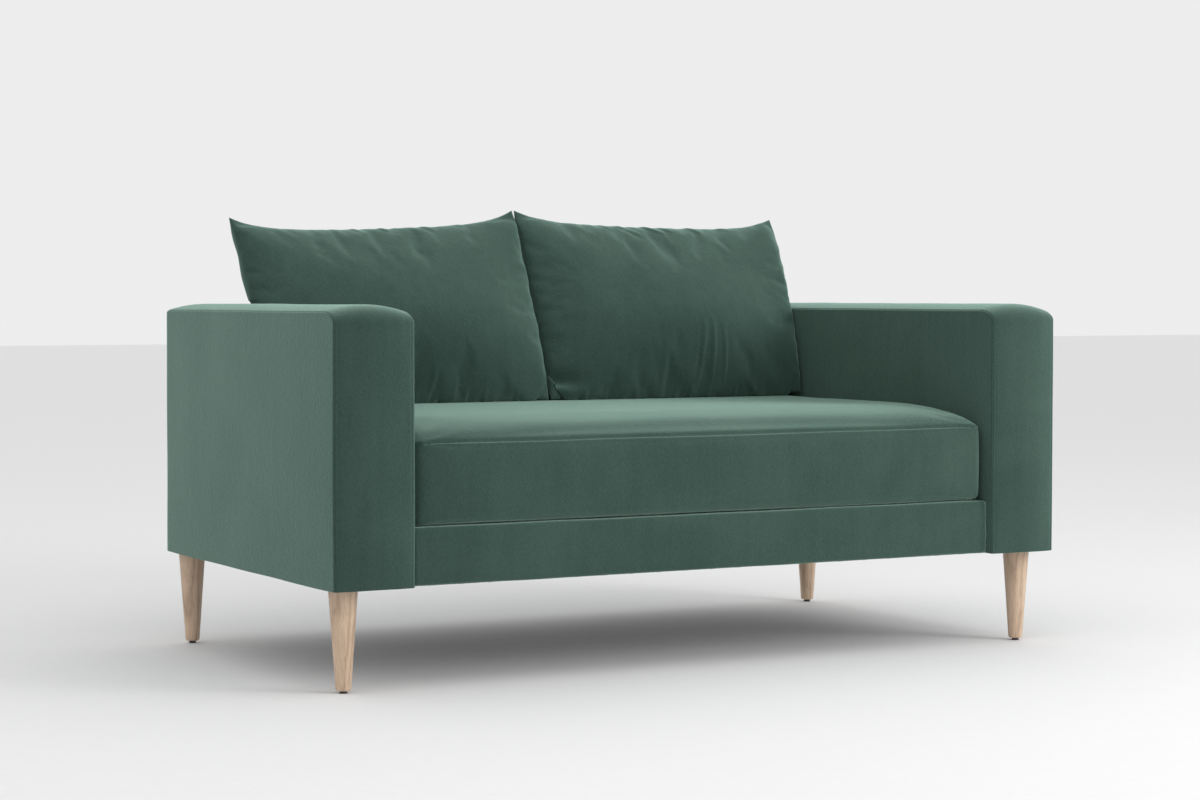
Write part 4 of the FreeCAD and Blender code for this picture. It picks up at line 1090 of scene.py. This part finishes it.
def stand(side, place):
    """Lean the cushion back on the backrest, settle it on the seat and keep it clear of its neighbours."""
    low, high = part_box(f"{side}_back_cushion_zip")
    foot_y, foot_z = (low.y + high.y) / 2, (low.z + high.z) / 2 + ZIP_DEPTH
    a, b, c = place.T
    c = np.where(c > 0, c * (FRONT_FULL + LOW_FULL * bell(b, LOW_UP, LOW_WIDE)), c * REAR_FULL)
    past_zip = np.clip((np.abs(c) - ZIP_HALF) / 0.005, 0, 1)
    sag = np.clip(1 - b / SAG_REACH, 0, 1) ** 2 * past_zip * (SAG_DEPTH + SAG_GROWTH * np.abs(c))
    if side == "right":
        pinch = CREASE * bell(b, CREASE_UP, CREASE_WIDE) - RIDGE * bell(b, RIDGE_UP, RIDGE_WIDE)
        c = np.where(c > 0, c * (1 - pinch * bell(a, a.min(), CREASE_LONG)), c)
        bent = np.clip((a - BEND_FROM) / BEND_WIDE, 0, 1) ** 2 * np.clip((CUSHION_TALL - b) / BEND_TALL, 0, 1)
        c = c + EDGE_BEND * bent
    beyond = np.clip((np.maximum(low.x - 0.004 - a, a - high.x - 0.004)) / 0.03, 0, 1)
    sag = np.maximum(sag, CORNER_SAG * beyond * np.clip(1 - b / 0.10, 0, 1) ** 2)
    y = foot_y + b * math.sin(LEAN) - c * math.cos(LEAN)
    z = foot_z + b * math.cos(LEAN) + c * math.sin(LEAN) - sag
    below_arm = z < arm_high.z + 0.004
    a = np.where(below_arm, np.clip(a, ARM_CLEAR - arm_inside, arm_inside - ARM_CLEAR), a)
    y = np.where(z < back_high.z + 0.002, np.minimum(y, back_low.y - BACK_CLEAR), y)
    for number in np.nonzero(z < seat_high.z + 0.012)[0]:
        hit = seat_top.ray_cast(Vector((a[number], y[number], 1.0)), Vector((0, 0, -1)))[0]
        if hit:
            z[number] = max(z[number], hit.z + SEAT_CLEAR)
    return np.column_stack([a, y, z])


def back_cushion(side):
    piece, place = stuffed(side)
    move_points(piece, stand(side, place))
    piece.data.shade_smooth()
    covered = [f"{side}_back_cushion_{part}" for part in ("cover", "insert")]
    return upholster(piece, f"{side}_back_cushion", 0.6, *covered)


pillows = [back_cushion(side) for side in SIDES]
print("each back cushion has", len(pillows[0].data.vertices), "points")

# %% [markdown]
# ## Zips
# Each cover closes with a zip. A zip is two tapes with a row of teeth on each, which mesh down the middle. The
# tapes of the back cushions are folded up against the panels, since that seam is a knife edge. The pulls are CAD
# parts, because they slide.

# %% Make the zips
TAPE_GAP = 0.0008
TAPE_FACE, TAPE_BACK = 0.0002, -0.0005
TOOTH_PITCH, TOOTH_LONG, TOOTH_REACH = 0.0026, 0.0016, 0.0022
TOOTH_FOOT, TOOTH_TOP, TOOTH_TIP = 0.0001, 0.0007, 0.0009
SEAT_TAPE_HALF, BACK_TAPE_HALF, FOLD_UP = 0.0115, 0.0075, 0.45


def bands(origin, across, out, runs):
    """Points and faces of thin bands along x. A run is a start, a length and a loop of (across, out) places."""
    points, faces = [], []
    for start, length, profile in runs:
        steps = max(2, int(length / 0.012))
        faces += [[number + len(points) for number in face] for face in tube_faces(steps + 1, len(profile))]
        for step in range(steps + 1):
            place = origin + Vector((start + length * step / steps, 0, 0))
            points += [place + across * aside + out * level for aside, level in profile]
    return points, faces


def zip_fastener(name, node, body, across, out, half, fold_up):
    """Two tapes, folded up by a slope, and the teeth between them."""
    low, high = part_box(node)
    origin = Vector((low.x, (low.y + high.y) / 2, (low.z + high.z) / 2))
    length = high.x - low.x
    rise = -(half - TAPE_GAP) * fold_up
    tapes = [(0.0, length, [(way * TAPE_GAP, TAPE_FACE), (way * half, rise + TAPE_FACE),
                            (way * half, rise + TAPE_BACK), (way * TAPE_GAP, TAPE_BACK)]) for way in (-1, 1)]
    teeth = []
    for tooth in range(int(length / TOOTH_PITCH)):
        way = 1 if tooth % 2 else -1
        profile = [(way * TOOTH_REACH, TOOTH_FOOT), (way * TOOTH_REACH, TOOTH_TOP),
                   (-way * TAPE_GAP, TOOTH_TIP), (-way * TAPE_GAP, TOOTH_FOOT)]
        teeth.append(((tooth + 0.2) * TOOTH_PITCH, TOOTH_LONG, profile))
    made = []
    for label, runs, slot in (("tape", tapes, "zip_tape"), ("teeth", teeth, "zip_metal")):
        net = bands(origin, across, out, runs)
        made.append(new_piece(f"{name}_{label}", *net, FINISH_OF_SLOT[slot], flat=True))
        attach(made[-1], body)
    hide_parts(node)
    return len(teeth)


up, back_way = Vector((0, 0, 1)), Vector((0, 1, 0))
count = zip_fastener("seat_zip", "seat_zip", "seat_cushion", up, back_way, SEAT_TAPE_HALF, 0.0)
for side in SIDES:
    thick = Vector((0, -math.cos(LEAN), math.sin(LEAN)))
    down = Vector((0, -math.sin(LEAN), -math.cos(LEAN)))
    cushion = f"{side}_back_cushion"
    zip_fastener(f"{side}_back_zip", f"{cushion}_zip", cushion, thick, down, BACK_TAPE_HALF, FOLD_UP)
print("teeth on the seat's zip:", count)

# %% [markdown]
# ## Dust cloths
# Black pressed cloth closes the underside. It is cut smaller than what it covers, with round corners, folded
# under and stapled over the hems of the velvet, so it hangs a little lower than they do.

# %% Make the dust cloths
CLOTH_ROUND = 0.030
CLOTH_SAG, CLOTH_UNEVEN = 0.0022, 0.0006
CLOTH_THICK = 0.0005
HEM_COVERED = 0.0015
STAPLE_PITCH, STAPLE_IN = 0.055, 0.005
STAPLE_LONG, STAPLE_THIN = 0.010, 0.0007
STAPLE_BELOW, STAPLE_ABOVE = 0.0011, 0.0003


def dust_cloth(node, inset):
    """A stapled sheet. Inset is how much smaller it is at the low x, high x, low y and high y sides."""
    low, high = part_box(node)
    low = Vector((low.x + inset[0], low.y + inset[2], low.z - HEM_COVERED))
    high = Vector((high.x - inset[1], high.y - inset[3], 0))
    middle, half = (low + high) / 2, (high - low) / 2
    radius = min(CLOTH_ROUND, half.x * 0.45, half.y * 0.45)

    def rounded(x, y):
        over = Vector((max(0, abs(x) - (half.x - radius)), max(0, abs(y) - (half.y - radius))))
        if over.length > radius:
            over = over * (radius / over.length)
            x = math.copysign(half.x - radius + over.x, x) if over.x else x
            y = math.copysign(half.y - radius + over.y, y) if over.y else y
        return x, y

    columns = graded(-half.x, half.x, 0.004, 1.3, max(0.02, half.x / 30))
    rows = graded(-half.y, half.y, 0.004, 1.3, max(0.02, half.y / 30))
    points = []
    for level in (0.0, CLOTH_THICK):
        for x in columns:
            for y in rows:
                place = rounded(x, y)
                sag = CLOTH_SAG * dome(x, -half.x, half.x, 6) * dome(y, -half.y, half.y, 6)
                sag -= CLOTH_UNEVEN * noise.noise(Vector((x * 11, y * 11, middle.x)))
                points.append((middle.x + place[0], middle.y + place[1], low.z + level - max(0, sag)))
    faces = sheet_faces(len(columns), len(rows))
    piece = new_piece(f"{node}_cloth", points, faces, FINISH_OF_SLOT["dust_cloth"])
    stretch_over(piece, node)
    staples = []
    for way in (-1, 1):
        for spot in np.arange(-half.x + radius + 0.01, half.x - radius, STAPLE_PITCH):
            place = (middle.x + spot, middle.y + way * (half.y - STAPLE_IN), low.z)
            staples.append((*place, STAPLE_LONG, STAPLE_THIN))
        for spot in np.arange(-half.y + radius + 0.01, half.y - radius, STAPLE_PITCH):
            place = (middle.x + way * (half.x - STAPLE_IN), middle.y + spot, low.z)
            staples.append((*place, STAPLE_THIN, STAPLE_LONG))
    return staples


def staple_row(staples):
    """One piece with a small box for each staple."""
    points, faces = [], []
    for x, y, z, wide, deep in staples:
        faces += [[len(points) + number for number in face] for face in tube_faces(2, 4)]
        points += [(x + a * wide / 2, y + b * deep / 2, level) for level in (z - STAPLE_BELOW, z + STAPLE_ABOVE)
                   for a, b in ((-1, -1), (1, -1), (1, 1), (-1, 1))]
    piece = new_piece("dust_cloth_staples", points, faces, FINISH_OF_SLOT["zinc_steel"], flat=True)
    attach(piece, "root")


outer, inner, rear = 0.0095, 0.0045, 0.024
staples = dust_cloth("left_arm_dust_cover", (outer, inner, outer, rear))
staples += dust_cloth("right_arm_dust_cover", (inner, outer, outer, rear))
staples += dust_cloth("base_dust_cover", (0.006, 0.006, 0.010, 0.002))
staples += dust_cloth("back_dust_cover", (0.006, 0.006, 0.010, 0.010))
staple_row(staples)
print(len(staples), "staples")

# %% [markdown]
# ## Studio
# A pale floor, a pale sky all round and two large soft lights. The camera stands at the front left, a little
# above the arms, with a long lens.

# %% Floor, light and camera
FLOOR_HALF = 30
SKY = 0.85
LAMPS = (("key", (3.0, -3.8, 1.9), 2.2, 82), ("fill", (0.4, -2.0, 3.4), 3.0, 20))
LAMP_AIM = (0, 0, 0.4)
TURN, TILT, AWAY = math.radians(28.908), math.radians(2.277), 4.992
CAMERA_AIM, LENS = (0, 0.025, 0.462), 78.06


def studio():
    corners = [(a * FLOOR_HALF, b * FLOOR_HALF, 0) for a, b in ((-1, -1), (1, -1), (1, 1), (-1, 1))]
    pale = finish("pale_floor", cells, {"Roughness": 0.8}, Wall=(0.86, 0.86, 0.86), Hollow=(0.84, 0.84, 0.84),
                  Cells=60.0)
    floor = new_piece("floor", corners, [[0, 1, 2, 3]], pale)
    scene.world = bpy.data.worlds.new("studio")
    scene.world.use_nodes = True
    background = scene.world.node_tree.nodes["Background"]
    feed((1, 1, 1), background.inputs["Color"])
    feed(SKY, background.inputs["Strength"])
    for name, place, size, power in LAMPS:
        light = bpy.data.lights.new(name, "AREA")
        light.shape = "DISK"
        light.size = size
        light.energy = power
        lamp = bpy.data.objects.new(name, light)
        scene.collection.objects.link(lamp)
        lamp.location = place
        lamp.rotation_euler = (Vector(LAMP_AIM) - Vector(place)).to_track_quat("-Z", "Y").to_euler()
    scene.view_settings.view_transform = "Standard"


def camera():
    forward = Vector((math.sin(TURN) * math.cos(TILT), math.cos(TURN) * math.cos(TILT), -math.sin(TILT)))
    lens = bpy.data.cameras.new("camera")
    lens.lens = LENS
    eye = bpy.data.objects.new("camera", lens)
    scene.collection.objects.link(eye)
    eye.location = Vector(CAMERA_AIM) - forward * AWAY
    eye.rotation_euler = forward.to_track_quat("-Z", "Y").to_euler()
    scene.camera = eye


studio()
camera()
print("the camera stands at", [round(v, 3) for v in scene.camera.location])
